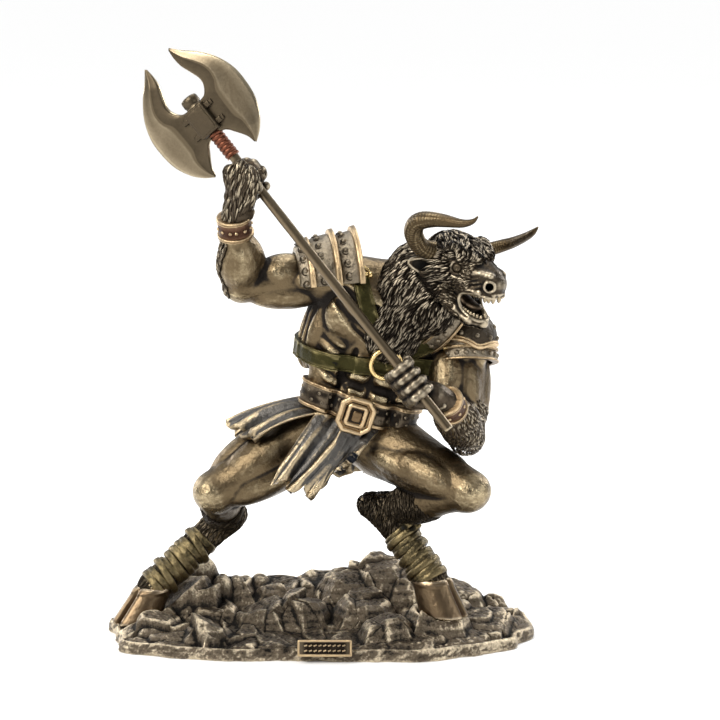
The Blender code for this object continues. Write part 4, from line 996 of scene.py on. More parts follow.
# Angles round the shaft, from the viewer's side towards its upper right side.
FINGER_TURNS = {"right": (50, 95, 150, 215), "left": (112, 62, -8, -78)}
THUMBS = {"right": ((2, -70), (-4, -120), (-8, -165)), "left": ((0, 160), (-6, 205), (-9, 250))}
PALM_TURN = {"right": 5, "left": 150}
GRASP = SHAFT_RADIUS + FINGER_RADIUS + 0.15


def round_shaft(centre, step, turn, radius):
    """A point beside the shaft, a step along it, at an angle in degrees."""
    turn = np.radians(turn)
    return centre + RUN * step + (FACE * np.cos(turn) + ACROSS * np.sin(turn)) * radius


def sculpt_fist(side):
    """Four curled fingers with knuckles, the thumb and the back of the hand."""
    centre, wrist, elbow = FISTS[side], WRISTS[side], ELBOWS[side]
    body = Clay(np.minimum(centre, wrist) - 19, np.maximum(centre, wrist) + 19, 0.4)
    body.limb(wrist + unit(elbow - wrist) * 4, wrist + (centre - wrist) * 0.35, 6.7, 6.4, 2)
    for finger in range(4):
        step = (finger - 1.5) * FINGER_PITCH
        turns = FINGER_TURNS[side]
        points = [round_shaft(centre, step, turns[0], GRASP + 2.0)]
        points += [round_shaft(centre, step, turn, GRASP) for turn in turns[1:]]
        between = [round_shaft(centre, step, (a + b) / 2, GRASP + 0.9) for a, b in zip(turns, turns[1:])]
        path = [points[0], between[0], points[1], between[1], points[2], between[2], points[3]]
        body.chain(path, (2.9, 2.35, 2.75, 2.25, 2.6, 2.2, 2.2), 0.5)
        body.limb(wrist + (centre - wrist) * 0.3 + RUN * step * 0.4, points[0], 4.6, 2.9, 1.0)
        tendon = body.settle(respaced(np.array([wrist + (centre - wrist) * 0.3 + RUN * step * 0.35, points[0]]), 8),
                             0, 4)
        body.chain(tendon, [0.9] * 8, 1.2)
    palm = round_shaft(centre, 0, PALM_TURN[side], GRASP + 0.3)
    body.limb(palm - RUN * 6, palm + RUN * 6, 3.6, 3.6, 1.6)
    body.limb(palm, wrist, 5.4, 6.4, 2)
    thumb = [wrist + (centre - wrist) * 0.45] + [round_shaft(centre, step, turn, GRASP) for step,
                            turn in THUMBS[side]]
    body.chain(thumb, (4.6, 3.3, 2.9, 2.3), 0.8)
    return body


SCULPTORS = {
    "trunk": sculpt_trunk,
    "legs": sculpt_legs,
    "head": sculpt_head,
    "right_fist": lambda: sculpt_fist("right"),
    "left_fist": lambda: sculpt_fist("left"),
}
CLAYS = {}


def clay(name):
    """A sculpted form, made when it is first asked for."""
    if name not in CLAYS:
        CLAYS[name] = SCULPTORS[name]()
    return CLAYS[name]


def cut_surface(form, point, direction):
    """A form's skin, cut flat beyond a point along a direction."""
    value = form.value
    lines = [form.low[i] + form.step * np.arange(n) for i, n in enumerate(value.shape)]
    beyond = sum((line - p).reshape([-1 if a == i else 1 for a in range(3)]) * d
                 for i, (line, p, d) in enumerate(zip(lines, point, unit(direction))))
    form.value = np.maximum(value, beyond.astype(np.float32))
    shape = form.surface()
    form.value = value
    return shape


def bones():
    """The limbs and the spine, as pairs of ends."""
    for side in SIDES:
        yield from ((HIPS[side], KNEES[side]), (KNEES[side], HOCKS[side]), (HOCKS[side], FETLOCKS[side]))
        yield from ((SHOULDERS[side], ELBOWS[side]), (ELBOWS[side], WRISTS[side]))
    yield torso(0, 0, 0), torso(0, 0, 75)


def furrowed(points, normals, depth):
    """Skin moved in and out: furrows that run along the nearest bone, from noise stretched along it,
    and dents."""
    nearest, furrows = np.full(len(points), np.inf), np.zeros(len(points))
    for start, end in bones():
        axis = unit(end - start)
        _, far = near_line(points, start, end)
        near = far < nearest
        along = (points[near] - start) @ axis
        squeezed = points[near] - 0.8 * along[:, None] * axis
        furrows[near] = noise(squeezed, 2.6, 81, 2)
        nearest[near] = far[near]
    return points + normals * (depth * (0.9 * furrows + 0.8 * noise(points, 5.5, 82, 2)))[:, None]


def add_skin(name, form, look, fine=(3, 0.1), muscle=5.0, cut=None):
    """A form as a piece, cut off at a point along a direction where they are given. Its relief stands
    for three things: fine ridges; how far a muscle stands out, painted lighter as wear and as a painted highlight;
    and how closed in the place is, painted darker as painted shade."""
    body = clay(form)
    points, faces = cut_surface(body, *cut) if cut else body.surface()
    faces = outward(points, faces)
    normals = point_normals(points, faces)
    standing, occlusion_shade = body.standing(points, muscle), body.occlusion_shade(points, normals)
    points = furrowed(points, normals, 0.14 if muscle > 3 else 0.08)
    relief = relief_of(points, faces, fine, (14, 0.3)) - 0.5
    # Raised muscles are painted lighter, wear together with a painted highlight; closed-in places are painted
    # darker as painted shade.
    relief = 0.52 + 0.7 * relief + 0.22 * np.tanh(standing / 0.5) - 0.55 * occlusion_shade
    add_piece(name, (points, faces), look, relief=np.clip(relief, 0, 1))
    return points, normals


# Fur.


def scattered(points, spacing, seed):
    """Points thinned to one in each cell of a lattice, in a shuffled order."""
    draw = np.random.default_rng(seed)
    order = draw.permutation(len(points))
    cells = np.floor(points[order] / spacing + draw.random(3)).astype(np.int64)
    _, first = np.unique(cells, axis=0, return_index=True)
    return points[order[np.sort(first)]]


def mane_flow(points):
    """Back from the face, and down over the neck and chest."""
    away = unit(points - head(0, 20, 6))
    down = np.array((-0.42, 0.12, -0.9))
    share = np.clip((np.linalg.norm(points - head(0, 6, 0), axis=-1) - 10) / 22, 0, 1)[..., None]
    return away * (1 - 0.8 * share) + down * share * 0.9 + 0.15 * drift(points, 9, 11)


def crown_flow(points):
    """Forward and outward over the forehead, in curls."""
    left = head.read(points)[0]
    ahead = head.axes[1] * 0.8 + head.axes[0] * (0.09 * left)[..., None] - head.axes[2] * 0.2
    return ahead + 0.9 * drift(points, 4.0, 21)


def face_shade(points):
    """Head-frame readings: whether a point is hair of the mane, of the crown or short hair of the face."""
    left, front, up = head.read(points)
    near = np.abs(left)
    face = (front > 5.5 - 0.25 * np.abs(up)) & (up > -17 - 0.2 * front) & (up < 13) & (near < 12)
    crown = (up > 7.2 + 0.012 * left**2) & (front > -7) & (front < 17 - 0.5 * (up < 9)) & (near < 11)
    root, tip = np.array((12.0, -1.2, -3.2)), np.array((21.5, -7.5, -1.6))
    place = np.stack([near, front, up], -1) - root
    along = np.clip((place @ (tip - root)) / (tip - root).dot(tip - root), 0, 1.1)[:, None]
    ear = np.linalg.norm(place - along * (tip - root), axis=1) < 5.6
    return face & ~crown, crown, ear


def near_line(points, start, end):
    """Share along a line and distance from it."""
    line = end - start
    share = ((points - start) @ line) / line.dot(line)
    return share, np.linalg.norm(points - start - np.clip(share, 0, 1)[:, None] * line, axis=1)


def add_hair(name, form, roots, flow, length, width, lift, seed, look="fur"):
    """Hair tufts on a form as a piece."""
    shape, relief = strands(clay(form), roots, flow, length, width, lift, seed)
    add_piece(name, shape, look, relief=relief)


def build_body():
    """Trunk with both arms, and legs, which part under the belt."""
    middle, up = belt_place.origin, belt_place.axes[2]
    points = add_skin("trunk_and_arms", "trunk", "bronze", cut=(middle - up * 3, -up))[0]
    share, far = near_line(points, ELBOWS["left"], WRISTS["left"])
    fur = points[(share > -0.18) & (share < 0.9) & (far < 17)]
    fur = fur[fur[:, 2] < WRISTS["left"][2] - 3]
    fore = unit(ELBOWS["left"] - WRISTS["left"])
    add_hair("forearm_fur", "trunk", scattered(fur, 1.55, 31),
             lambda p: fore + 0.5 * drift(p, 7, 31), 5.5, 0.42, 0.42, 5, "hand")
    outer = ELBOWS["right"] + (WRISTS["right"] - ELBOWS["right"]) * np.linspace(0, 1, 2)[:, None] + (-7, 2, -1)
    share, far = near_line(points, outer[0], outer[1])
    fore = unit(WRISTS["right"] - ELBOWS["right"])
    add_hair("upper_forearm_fur", "trunk", scattered(points[(share > 0) & (share < 0.95) & (far < 7.5)], 1.9, 32),
             lambda p: -fore + (-0.5, 0, 0) + 0.5 * drift(p, 7, 34), 5.0, 0.45, 0.8, 12, "hand")
    points = add_skin("legs", "legs", "bronze", cut=(middle + up * 3, up))[0]
    for side in SIDES:
        hock, fetlock, knee = HOCKS[side], FETLOCKS[side], KNEES[side]
        furry = near_line(points, hock - unit(fetlock - hock) * 4, hock + (fetlock - hock) * 0.3)[1] < 12.5
        furry |= near_line(points, hock + (knee - hock) * 0.5, hock)[1] < 11
        furry |= near_line(points, fetlock - (fetlock - hock) * 0.1, fetlock)[1] < 10
        low = unit(fetlock - hock) * 0.8 + unit(hock - knee) * 0.5
        add_hair(side + "_hock_fur", "legs", scattered(points[furry], 1.6, 41),
                 lambda p: low + 0.4 * drift(p, 8, 41), 5.5, 0.45, 0.6, 6, "hide")


def build_head(sizes):
    """The bull's head and neck, its eyes, teeth and tongue."""
    points, normals = add_skin("head_and_neck", "head", "face", (3, 0.05), 2.5)
    hidden = clay("trunk").distance(points) < -1.5
    eyes, teeth = [], []
    for side in (-1, 1):
        eye, look = eye_of(side)
        eyes.append(ball_with_pupil(eye - look * 0.9, look, 2.8))
        for row, share in enumerate(np.linspace(0, 1, 9)):
            base = head(side * (7.0 - 4.8 * share**3), 20.0 + 11.2 * share, -7.0 + 1.0 * share)
            large = row > 5
            teeth.append((base, 0.15 * head.axes[1] - head.axes[2], 1.3 if large else 0.85, 2.4 if large else 1.7))
        for share in np.linspace(0, 1, 7):
            base = head(side * (6.0 - 4.4 * share**2), 18.5 + 8.0 * share, -17.0 - 1.8 * share)
            teeth.append((base, head.axes[2], 0.85, 2.0))
    add_piece("eyes", merged(eyes), "iron")
    add_piece("teeth", merged([domes(b, n, r, h, 8, 4) for b, n, r, h in teeth]), "iron")
    path = respaced(smooth_line([head(0, 8, -12), head(0, 14, -14.6), head(0, 20, -15.6), head(0, 24, -14.4)]), 18)
    width = 4.2 * np.sqrt(np.clip(1 - np.linspace(0, 1, 18) ** 4, 0.02, 1))
    add_piece("tongue", tube(path, width, 16, head.axes[0], squash=0.6), "dark")

    face, crown, ear = face_shade(points)
    bare = hidden | ear
    mane = points[~bare & ~face & ~crown]
    add_hair("mane", "head", scattered(mane, 1.4, 51), mane_flow, sizes.mane_length * 1000, 0.44, 0.9, 7)
    add_hair("crown_hair", "head", scattered(points[crown & ~hidden], 1.3, 52), crown_flow, 6.0, 0.5, 1.0, 8)
    _, front, up = head.read(points)
    short = face & ~hidden & (front < 21) & (np.hypot(front - 11.6,
                            up - 2.4) > 5.0) & (normals @ head.axes[1] < 0.8)
    short &= np.hypot((front - 24.2) / 9.4, (up + 12.6) / 8.4) > 1
    add_hair("face_hair", "head", scattered(points[short], 1.15, 53),
             lambda p: -head.axes[1] - 0.45 * head.axes[2] + drift(p, 4, 14),
             3.8, 0.36, 0.4, 9, "face")


def ball_with_pupil(centre, look, radius):
    """An eyeball: rings of a sphere round its line of sight, sunk at the pupil inside a raised iris."""
    place = Place(centre, (0.3, 0.1, 1), look)
    lift = np.radians(np.concatenate([np.linspace(-88, 40, 18), np.linspace(44, 88, 22)]))[:, None]
    turn = full_turn(36)[None]
    reach = radius * (1 + 0.05 * np.exp(-(((np.degrees(lift) - 56) / 4) ** 2)) - 0.16
                      / (1 + np.exp((74 - np.degrees(lift)) * 0.8)))
    rings = place(reach * np.cos(lift) * np.sin(turn), reach * np.cos(lift) * np.cos(turn),
                  reach * np.sin(lift) + 0 * turn)
    return capped(rings)


HORN_RINGS = 320
# Points of each horn in the frame of the brow, with the horn's radius.
HORN_LINES = {
    "right": (
        (-8.6, -2.0, 3.4, 4.9), (-13.0, -3.2, 2.7, 4.6), (-19.3, -4.4, 3.9, 4.3), (-24.7, -3.8, 7.1, 4.4),
        (-27.4, -2.9, 9.6, 4.5), (-29.6, -0.6, 12.4, 4.4), (-30.3, 2.2, 14.2, 4.3), (-30.2, 5.7, 15.2, 4.1),
        (-29.4, 10.4, 15.7, 3.6), (-27.8, 15.8, 15.6, 3.1), (-25.9, 23.0, 15.2, 2.2), (-25.0, 27.0, 15.6, 1.7),
        (-24.4, 30.3, 16.9, 1.1), (-24.4, 32.6, 19.1, 0.35),
    ),
    "left": (
        (10.7, -2.3, 4.0, 4.6), (20.3, -4.8, 6.3, 4.2), (28.3, -4.3, 9.3, 3.5), (33.3, 0.6, 12.4, 3.2),
        (34.1, 8.2, 15.1, 2.7), (31.2, 18.1, 18.0, 2.1), (28.9, 23.8, 20.1, 1.5), (27.5, 27.5, 22.5, 0.4),
    ),
}


def build_horns():
    """A tapering profile along a curve, with rings that fade towards the tip and a ragged root."""
    for name, rows in HORN_LINES.items():
        left, front, up, radii = np.array(rows).T
        dense = smooth_line(np.concatenate([brow(left, front, up), radii[:, None]], 1), 30)
        lengths = lengths_along(dense[:, :3])
        place = np.linspace(0, lengths[-1], HORN_RINGS)
        path = sampled(dense, lengths, place)
        turn = full_turn(40)
        share = place / lengths[-1]
        wave = place / 1.45 + 0.6 * noise(np.stack([place, 0 * place, 0 * place], -1), 6, 3)
        ribs = (np.abs(np.sin(np.pi * wave)) ** 0.7 - 0.6)[:,
                                None] * (0.46 * np.clip(1.05 - share * 1.25, 0.04, 1))[:, None]
        grain = 0.13 * noise(np.stack(np.broadcast_arrays(place[:, None] * 0.15, 6 * np.cos(turn),
                                6 * np.sin(turn)), -1), 1.1, 5, 2)
        root = 0.9 * np.exp(-place / 2.5)[:, None] * (0.6 + 0.4 * np.sin(7 * turn))
        radii = path[:, 3:] + ribs * (0.75 + 0.25 * np.cos(turn - 1)) + grain + root
        points, faces = tube(path[:, :3], np.maximum(radii, 0.25), 40, brow.axes[2])
        add_piece(name + "_horn", (points, faces), "horn", fine=(3, 0.06), broad=(0, 1))


def build_fists():
    """Both fists, with hair on the back of the raised one."""
    for side in SIDES:
        points = add_skin(side + "_fist", side + "_fist", "hand", (3, 0.12), 2.5)[0]
        if side == "right":
            add_hand_fur(points, WRISTS[side], FISTS[side])


def add_hand_fur(points, wrist, centre):
    """Hair on the back of the raised hand and round its wrist."""
    axial = (points - centre) @ RUN
    off = points - centre - axial[:, None] * RUN
    turn = np.degrees(np.arctan2(off @ ACROSS, off @ FACE))
    from_wrist = np.linalg.norm(points - wrist, axis=1)
    back = (np.linalg.norm(off, axis=1) > GRASP + 2.2) & (from_wrist > 4) & (np.abs(axial) < 20)
    back &= np.abs((turn - PALM_TURN["right"] + 180) % 360 - 180) < 70
    back |= (from_wrist < 12) & (axial < 12)
    toward = unit(wrist - centre)
    add_hair("hand_fur", "right_fist", scattered(points[back], 2.2, 61),
             lambda p: -toward + 0.25 * drift(p, 6, 61), 7.5, 0.62, 0.4, 11, "hand")


# Belt, straps and cuffs.


def taut_fall(form, start, out, closed, taut=0.8, rounds=12, limit=40):
    """Points that fall inwards onto the skin; how far they fall is evened out along the band, as a
    taut strap is."""
    landed = form.fall(start, -out)
    far = np.minimum(dot(landed - start, out), limit)
    top = far.max(1, keepdims=True)
    tight = top
    for _ in range(rounds):
        if closed:
            around = 0.5 * (np.roll(tight, 1, 0) + np.roll(tight, -1, 0))
        else:
            around = 0.5 * (np.concatenate([tight[:1], tight[:-1]]) + np.concatenate([tight[1:], tight[-1:]]))
        tight = np.maximum(0.5 * (tight + around), top - 0.3)
    far = far * (1 - taut) + tight * taut
    return start + out * far[..., None]


def hoop(form, centre, normal, front, reach, width, steps=220, rows=7, taut=0.8, rounds=12, limit=40):
    """A closed band: an ellipse round an axis whose points fall onto the skin."""
    place = Place(centre, front, normal)
    turn = full_turn(steps)[:, None]
    wide, deep = reach
    out = np.broadcast_to(place.way(np.sin(turn) / wide, np.cos(turn) / deep, 0), (steps, rows, 3))
    start = place(np.sin(turn) * wide, np.cos(turn) * deep, np.linspace(-0.5, 0.5, rows) * width)
    return taut_fall(form, start, out, True, taut, rounds, limit), out, True


def laid(form, line, side, out, width, steps=90, rows=7, taut=0.8, rounds=8):
    """An open band along a line, with its width along a side direction, that falls onto the skin."""
    path = respaced(smooth_line(line), steps)
    tangent = unit(np.gradient(path, axis=0))
    side = unit(side - tangent * (tangent @ side)[:, None])
    away = unit(np.cross(tangent, side))
    away *= np.sign(dot(away, out))[:, None]
    across = np.linspace(-0.5, 0.5, rows) * width
    away = np.broadcast_to(away[:, None], (steps, rows, 3))
    start = path[:, None] + side[:, None] * across[None, :, None] + away * 5
    return taut_fall(form, start, away, False, taut, rounds), away, False


def along_band(ground, out, share, height, step, first=0.5):
    """Places for studs along a band, at a share of its width."""
    index = share * (ground.shape[1] - 1)
    low = min(int(index), ground.shape[1] - 2)
    line = ground[:, low] + (ground[:, low + 1] - ground[:, low]) * (index - low) + out[:, 0] * height
    lengths = lengths_along(line)
    wanted = np.arange(first * step, lengths[-1], step)
    return sampled(line, lengths, wanted), unit(sampled(out[:, 0], lengths, wanted))


def build_belt():
    """A studded belt with trims, and its octagonal buckle of nested frames."""
    _, front, up = belt_place.axes
    band = hoop(clay("trunk"), belt_place.origin, up, front, (31, 25), 12.6, 300, 9)
    add_piece("belt", strap(*band, section(0.06, 0.94, 2.0, 0.25), 1.5), "leather")
    add_piece("belt_trims", merged(both_rims(band, 0.0, 0.15, 3.1, 1.5)), "trim")
    studs = [along_band(*band[:2], share, 2.0, 5.6, first) for share, first in ((0.34, 0.5), (0.66, 1.0))]
    add_piece("belt_studs", studded(studs, 0.95, 0.8), "plate")

    buckle = Place(belt_place(0.5, 22.2, -1.8), front, up)
    frames = []
    for x, y, corner, wire, rise in ((7.9, 7.9 * 1.02, 3.3, 1.3, 0.6), (6.4, 6.4 * 1.02, 2.7, 0.5, 0.3),
                            (4.2, 4.7, 0.8, 1.1, 1.0)):
        left, high = octagon(x, y, corner).T
        frames.append(tube(respaced_loop(buckle(left, rise, high), 96), wire, 12, front, True))
    frames.append(block(buckle, buckle(0.4, 0.6, -0.3), (2.2, 2.6, 1.3), 5, 20))
    add_piece("buckle_frames", merged(frames), "trim")
    plates = []
    for reach, corner, low, high in ((8.1, 3.3, -3.5, 0.2), (4.4, 1.0, -2, 1.0)):
        shares = np.array((0, 0.5, 0.97, 1.0, 1.0, 0.97, 0.9, 0.5, 0))[:, None]
        rise = np.array((low, low, low, low, high - 0.4, high - 0.1, high, high, high))[:, None]
        x, y = respaced_loop(octagon(reach, reach, corner), 64).T
        plates.append(capped(buckle(shares * x, rise + 0 * x, shares * y)))
    add_piece("buckle_plate", merged(plates), "leather")


def octagon(x, y, cut):
    """A rectangle with its corners cut off, from half its width, half its height and the cut."""
    return np.array([(x, -y + cut), (x, y - cut), (x - cut, y), (cut - x, y), (-x, y - cut), (-x, cut - y),
                     (cut - x, -y), (x - cut, -y)])


def respaced_loop(corners, count):
    """Even points round a closed line of corners."""
    return respaced(np.concatenate([corners, corners[:1]]), count + 1)[:-1]


def build_straps():
    """Three olive straps that meet at a ring on the breastbone, with gold loops at their ends."""
    trunk = clay("trunk")
    ring = torso(2, 22, 43)
    normal = unit(chest.axes[2] - chest.axes[0] * 0.25)
    bands = [hoop(trunk, torso(0, 0, 40), normal, chest.axes[1], (37, 26), 8.6, 260, 7, limit=1.0)]
    bands.append(laid(trunk, [torso(-23, 22, 80), torso(-18, 24, 70), torso(-9, 25, 57), ring],
                      chest.axes[0] + 0.3 * chest.axes[2], chest.axes[1], 8.0))
    bands.append(laid(trunk, [ring, torso(10, 24, 48), torso(18, 23, 55), torso(25, 19, 62)],
                      chest.axes[2] - 0.4 * chest.axes[0], chest.axes[1], 8.4))
    add_piece("chest_straps", merged([strap(*band, section(0, 1, 1.7, 0.35), 1.2) for band in bands]), "strap",
              fine=(3, 0.15), broad=(0, 1))
    edges = [rim for band in bands for rim in both_rims(band, 0.0, 0.1, 2.15, 0.8)]
    add_piece("strap_edges", merged(edges), "strap")
    loops = [hoop_ring(ring + chest.axes[1] * 1.6, chest.axes[1], 7.4, 1.15)]
    for band, first, row in ((bands[2], -1, 9.6), (bands[1], 0, 9.2)):
        ground, out, _ = band
        middle, way = ground[first, 3], out[first, 3]
        along = unit(ground[first, 3] - ground[-3 if first == -1 else 2, 3])
        wide = unit(ground[first, -1] - ground[first, 0])
        turn = np.radians(np.linspace(-90, 90, 24))
        bow = middle + along * (1.0 + 4.2 * np.cos(turn))[:, None] + wide * (row / 2 * np.sin(turn))[:,
                                None] + way * 2.0
        bow = np.concatenate([bow, bow[:1] + (bow[-1:] - bow[:1]) * np.linspace(0.95, 0.05, 16)[:, None]])
        loops.append(tube(bow, 0.95, 12, way, True))
        loops += [ball(middle + along * 0.4 + wide * end * row * 0.52 + way * 2.1, 1.5) for end in (-1, 1)]
    add_piece("strap_rings", merged(loops), "gold")


def hoop_ring(centre, normal, radius, wire):
    """A ring of round wire."""
    place = Place(centre, (0.2, 0.1, 1), normal)
    turn = full_turn(72)
    return tube(place(radius * np.sin(turn), radius * np.cos(turn), 0 * turn), wire, 14, place.axes[2], True)


def ball(centre, radius):
    """Rings of a sphere that shrink to its poles."""
    lift = np.radians(np.linspace(-88, 88, 14))[:, None]
    turn = full_turn(20)[None]
    rings = np.broadcast_arrays(np.cos(lift) * np.cos(turn), np.cos(lift) * np.sin(turn), np.sin(lift))
    return capped(centre + radius * np.stack(rings, -1))


def build_cuffs():
    """Leather cuffs with trims and studs over the wrists."""
    bands, rims, studs = [], [], []
    for side in SIDES:
        wrist, elbow = WRISTS[side], ELBOWS[side]
        axis = unit(elbow - wrist)
        centre = wrist + (elbow - wrist) * 0.04
        band = hoop(clay("trunk"), centre, axis, (0, -1, 0), (12, 12), 10.4, 120, 9)
        bands.append(strap(*band, section(0.05, 0.95, 1.4, 0.2), 1.8))
        rims += both_rims(band, -0.02, 0.17, 2.2, 1.8)
        studs.append(along_band(*band[:2], 0.5, 1.7, 4.4))
    add_piece("cuffs", merged(bands), "cuff")
    add_piece("cuff_trims", merged(rims), "trim")
    add_piece("cuff_studs", studded(studs, 0.85, 0.8), "trim")


def build_wraps():
    """Straps wound round the shanks, from hock to fetlock, each crossing the last a little."""
    wraps = []
    for side in SIDES:
        hock, fetlock = HOCKS[side], FETLOCKS[side]
        axis = unit(fetlock - hock)
        for turn in range(10):
            tilt = axis + np.array((0.1 * (-1) ** turn, 0.05, 0.06 + 0.14 * (turn % 3 == 1)))
            centre = hock + (fetlock - hock) * (0.34 + 0.071 * turn)
            band = hoop(clay("legs"), centre, tilt, (0, -1, 0), (11, 11), 4.0, 110, 7, 0.9, 6, 0.6)
            wraps.append(strap(*band, section(0, 1, 1.0 + 0.6 * (turn % 3 == 1) + 0.3 * (turn % 2), 0.35), 1.2))
    add_piece("leg_wraps", merged(wraps), "wrap")


# Pauldrons.


def arched(centre, axis, front, radius, width, start, sweep, flare, steps=90, rows=9):
    """Part of a cone round an axis, as a grid of angle and width with its outward directions."""
    place = Place(centre, front, axis)
    turn = np.radians(start + sweep * np.linspace(0, 1, steps))[:, None]
    across = np.linspace(-0.5, 0.5, rows)
    reach = radius * (1 + flare * across)
    ground = place(np.sin(turn) * reach, np.cos(turn) * reach, across * width)
    return ground, np.broadcast_to(place.way(np.sin(turn), np.cos(turn), 0), ground.shape), False


def build_pauldrons():
    """Arched plates over the shoulders with raised trims and rows of studs."""
    plates, trims, studs = [], [], []
    shoulder = SHOULDERS["right"]
    arm = unit(ELBOWS["right"] - shoulder)
    for place, radius, width in ((-11.5, 15.2, 7), (-2.5, 17.6, 14.0), (9.5, 17.9, 12)):
        band = arched(shoulder - arm * place, -arm, (0, -0.35, 1), radius, width, -112, 190, 0.16)
        plates.append(strap(*band, section(0.0, 0.97, 1.2, 0.7), 1.0))
        trims.append(strap(*band, section(1 - 2.6 / width, 1.0 + 0.4 / width, 3.4), 1.3))
        studs.append(along_band(*band[:2], 0.42, 1.9, 6.4))
        rings = along_band(*band[:2], 0.42, 1.7, 6.4)
        plates += [hoop_ring(c, n, 1.75, 0.4) for c, n in zip(*rings)]
    shoulder = SHOULDERS["left"]
    arm = unit(ELBOWS["left"] - shoulder)
    inward = unit(NECK - shoulder)
    for centre, axis, front, radius, width, start, sweep, flare, rim, gap in (
        (shoulder + arm * 4, arm, (0.5, -1, 0), 14.4, 7.0, -130, 260, 0.06, 0.16, 4.6),
        (shoulder + arm * 10, arm, (0.5, -1, 0), 14.4, 6.5, -130, 260, 0.06, 0.16, 4.6),
        (shoulder + inward * 15, inward, (0, -1, 0), 17.5, 9, -75, 180, 0.08, 0.15, 5.0),
    ):
        band = arched(centre, axis, front, radius, width, start, sweep, flare)
        plates.append(strap(*band, section(0.03, 0.97, 1.2, 0.4), 1.0))
        trims += both_rims(band, 0.0, rim, 2.2, 1.1)
        studs.append(along_band(*band[:2], 0.5, 1.6, gap))

    place = Place(shoulder + np.array((1, -2, 0)), (0.3, -1, 0), unit(chest.axes[2] * 0.6 - arm * 0.6))
    turn = full_turn(120)
    notch = np.exp(-(((turn + np.pi) % (2 * np.pi) - np.pi - 0.1) / 0.32) ** 2)

    def shell(lift, turn, grow):
        flat = (14.6 + grow) * np.cos(lift)
        return place(flat * np.sin(turn), flat * np.cos(turn), (13.6 + grow) * np.sin(lift))

    for low, notched, grow, high in ((-4, 9, 0.9, 88), (-27, 9, 0.1, 10)):
        rim = np.radians(low - notched * notch)[None]
        lift = rim + (np.radians(high) - rim) * np.linspace(0, 1, 36)[:, None]
        outer, inner = shell(lift, turn[None], grow), shell(lift[::-1], turn[None], grow - 1.8)
        plates.append(capped(np.concatenate([inner, outer])))
        for step, wire in ((0.5, 1.0), (6.5, 0.55)):
            trims.append(tube(shell(rim[0] + np.radians(step), turn, grow + 0.2), wire, 10, place.axes[2], True))
    for height, count, shift, grow in ((10, 12, 0, 0.8), (32, 10, 0.5, 0.8), (54, 7, 0, 0.8), (74, 3, 0.5, 0.8),
                            (-18, 12, 0.25, 0.1)):
        centres = shell(np.radians(height), 2 * np.pi * (np.arange(count) + shift) / count, grow)
        studs.append((centres, unit(centres - place.origin)))
    add_piece("pauldron_plates", merged(plates), "plate")
    add_piece("pauldron_trims", merged(trims), "trim")
    add_piece("pauldron_studs", studded(studs, 1.3, 0.9), "plate")


# Skirt.


def cloth_panel(top, bottom, drop_out, folds, depth, ragged, seed, rows=60, columns=90):
    """A hanging strip between two edges: rows sink from top to bottom, bulge outwards, and ripple in
    folds that deepen towards a ragged hem."""
    v, u = np.linspace(0, 1, rows)[:, None, None], np.linspace(0, 1, columns)[None, :, None]
    top, bottom = np.asarray(top), np.asarray(bottom)
    torn = np.sin(2.2 * np.pi * u
                  + seed) ** 2 + 0.2 * np.abs(noise(np.concatenate([7 * u, 0 * u, 0 * u + seed], -1), 1.0, 5))[...,
                                          None]
    hem = bottom[0] + (bottom[1] - bottom[0]) * u + unit(top[0] - bottom[0]) * ragged * torn
    points = (top[0] + (top[1] - top[0]) * u) * (1 - v) + hem * v
    points = points + drop_out * (np.sin(np.pi * v) * 0.5 + 0.5 * v)
    out = unit(np.asarray(drop_out, float))
    place = np.concatenate(np.broadcast_arrays(4.2 * u, 0.9 * v, 0 * v + seed), -1)
    drift = 0.16 * noise(place, 1.0, seed)[..., None]
    wave = 2 * np.pi * folds * (u + drift * v)
    ripple = np.sin(wave) + 0.3 * np.sin(2.6 * wave + 1) + 0.3 * noise(place * (2, 1, 1), 1.0, seed + 1)[..., None]
    points = points + out * depth * ripple * (0.3 + 0.7 * v)
    side = unit(np.cross(np.gradient(points, axis=0), np.gradient(points, axis=1)))
    side *= np.sign(dot(side, out))[..., None]
    wall = 0.8 + 1.1 * v**8 * (1 + 0.3 * noise(place * (3, 1, 1), 1.0, seed + 2)[..., None])
    return slab(points + side * wall, points - side * wall)


def build_skirt():
    """Hanging strips of heavy cloth under the belt."""
    waist = belt_place

    def hem(turn, drop):
        turn = np.radians(turn)
        return waist(25 * np.sin(turn), 19.5 * np.cos(turn), -drop - 3)

    panels = (
        ((hem(-42, 4), hem(22, 4)), (at(-22, -26, 75), at(-3, -27, 68)), (-1, -5, 1), 1.8, 2.6, 6),
        ((hem(-8, 4), hem(38, 4)), (at(-4, -24, 70), at(18, -20, 88)), (0, -4, 0), 1.5, 2.2, 2),
        ((hem(-95, 4), hem(-38, 4)), (at(-45, 2, 96), at(-31, -18, 93)), (-2, -3, 5), 1.6, 2.6, 4),
        ((hem(-150, 4), hem(-80, 4)), (at(-34, 24, 82), at(-40, 8, 92)), (-3, 3, 2), 1.8, 2.2, 4),
        ((hem(-215, 4), hem(-140, 4)), (at(24, 26, 66), at(-14, 28, 68)), (-1, 5, 0), 3, 1.6, 5),
    )
    shapes = [cloth_panel(top, bottom, np.array(out, float), folds, depth, ragged, k)
              for k, (top, bottom, out, folds, depth, ragged) in enumerate(panels)]
    add_piece("skirt", merged(shapes), "cloth", fine=(4, 0.05), broad=(40, 0.5))


# Hooves.


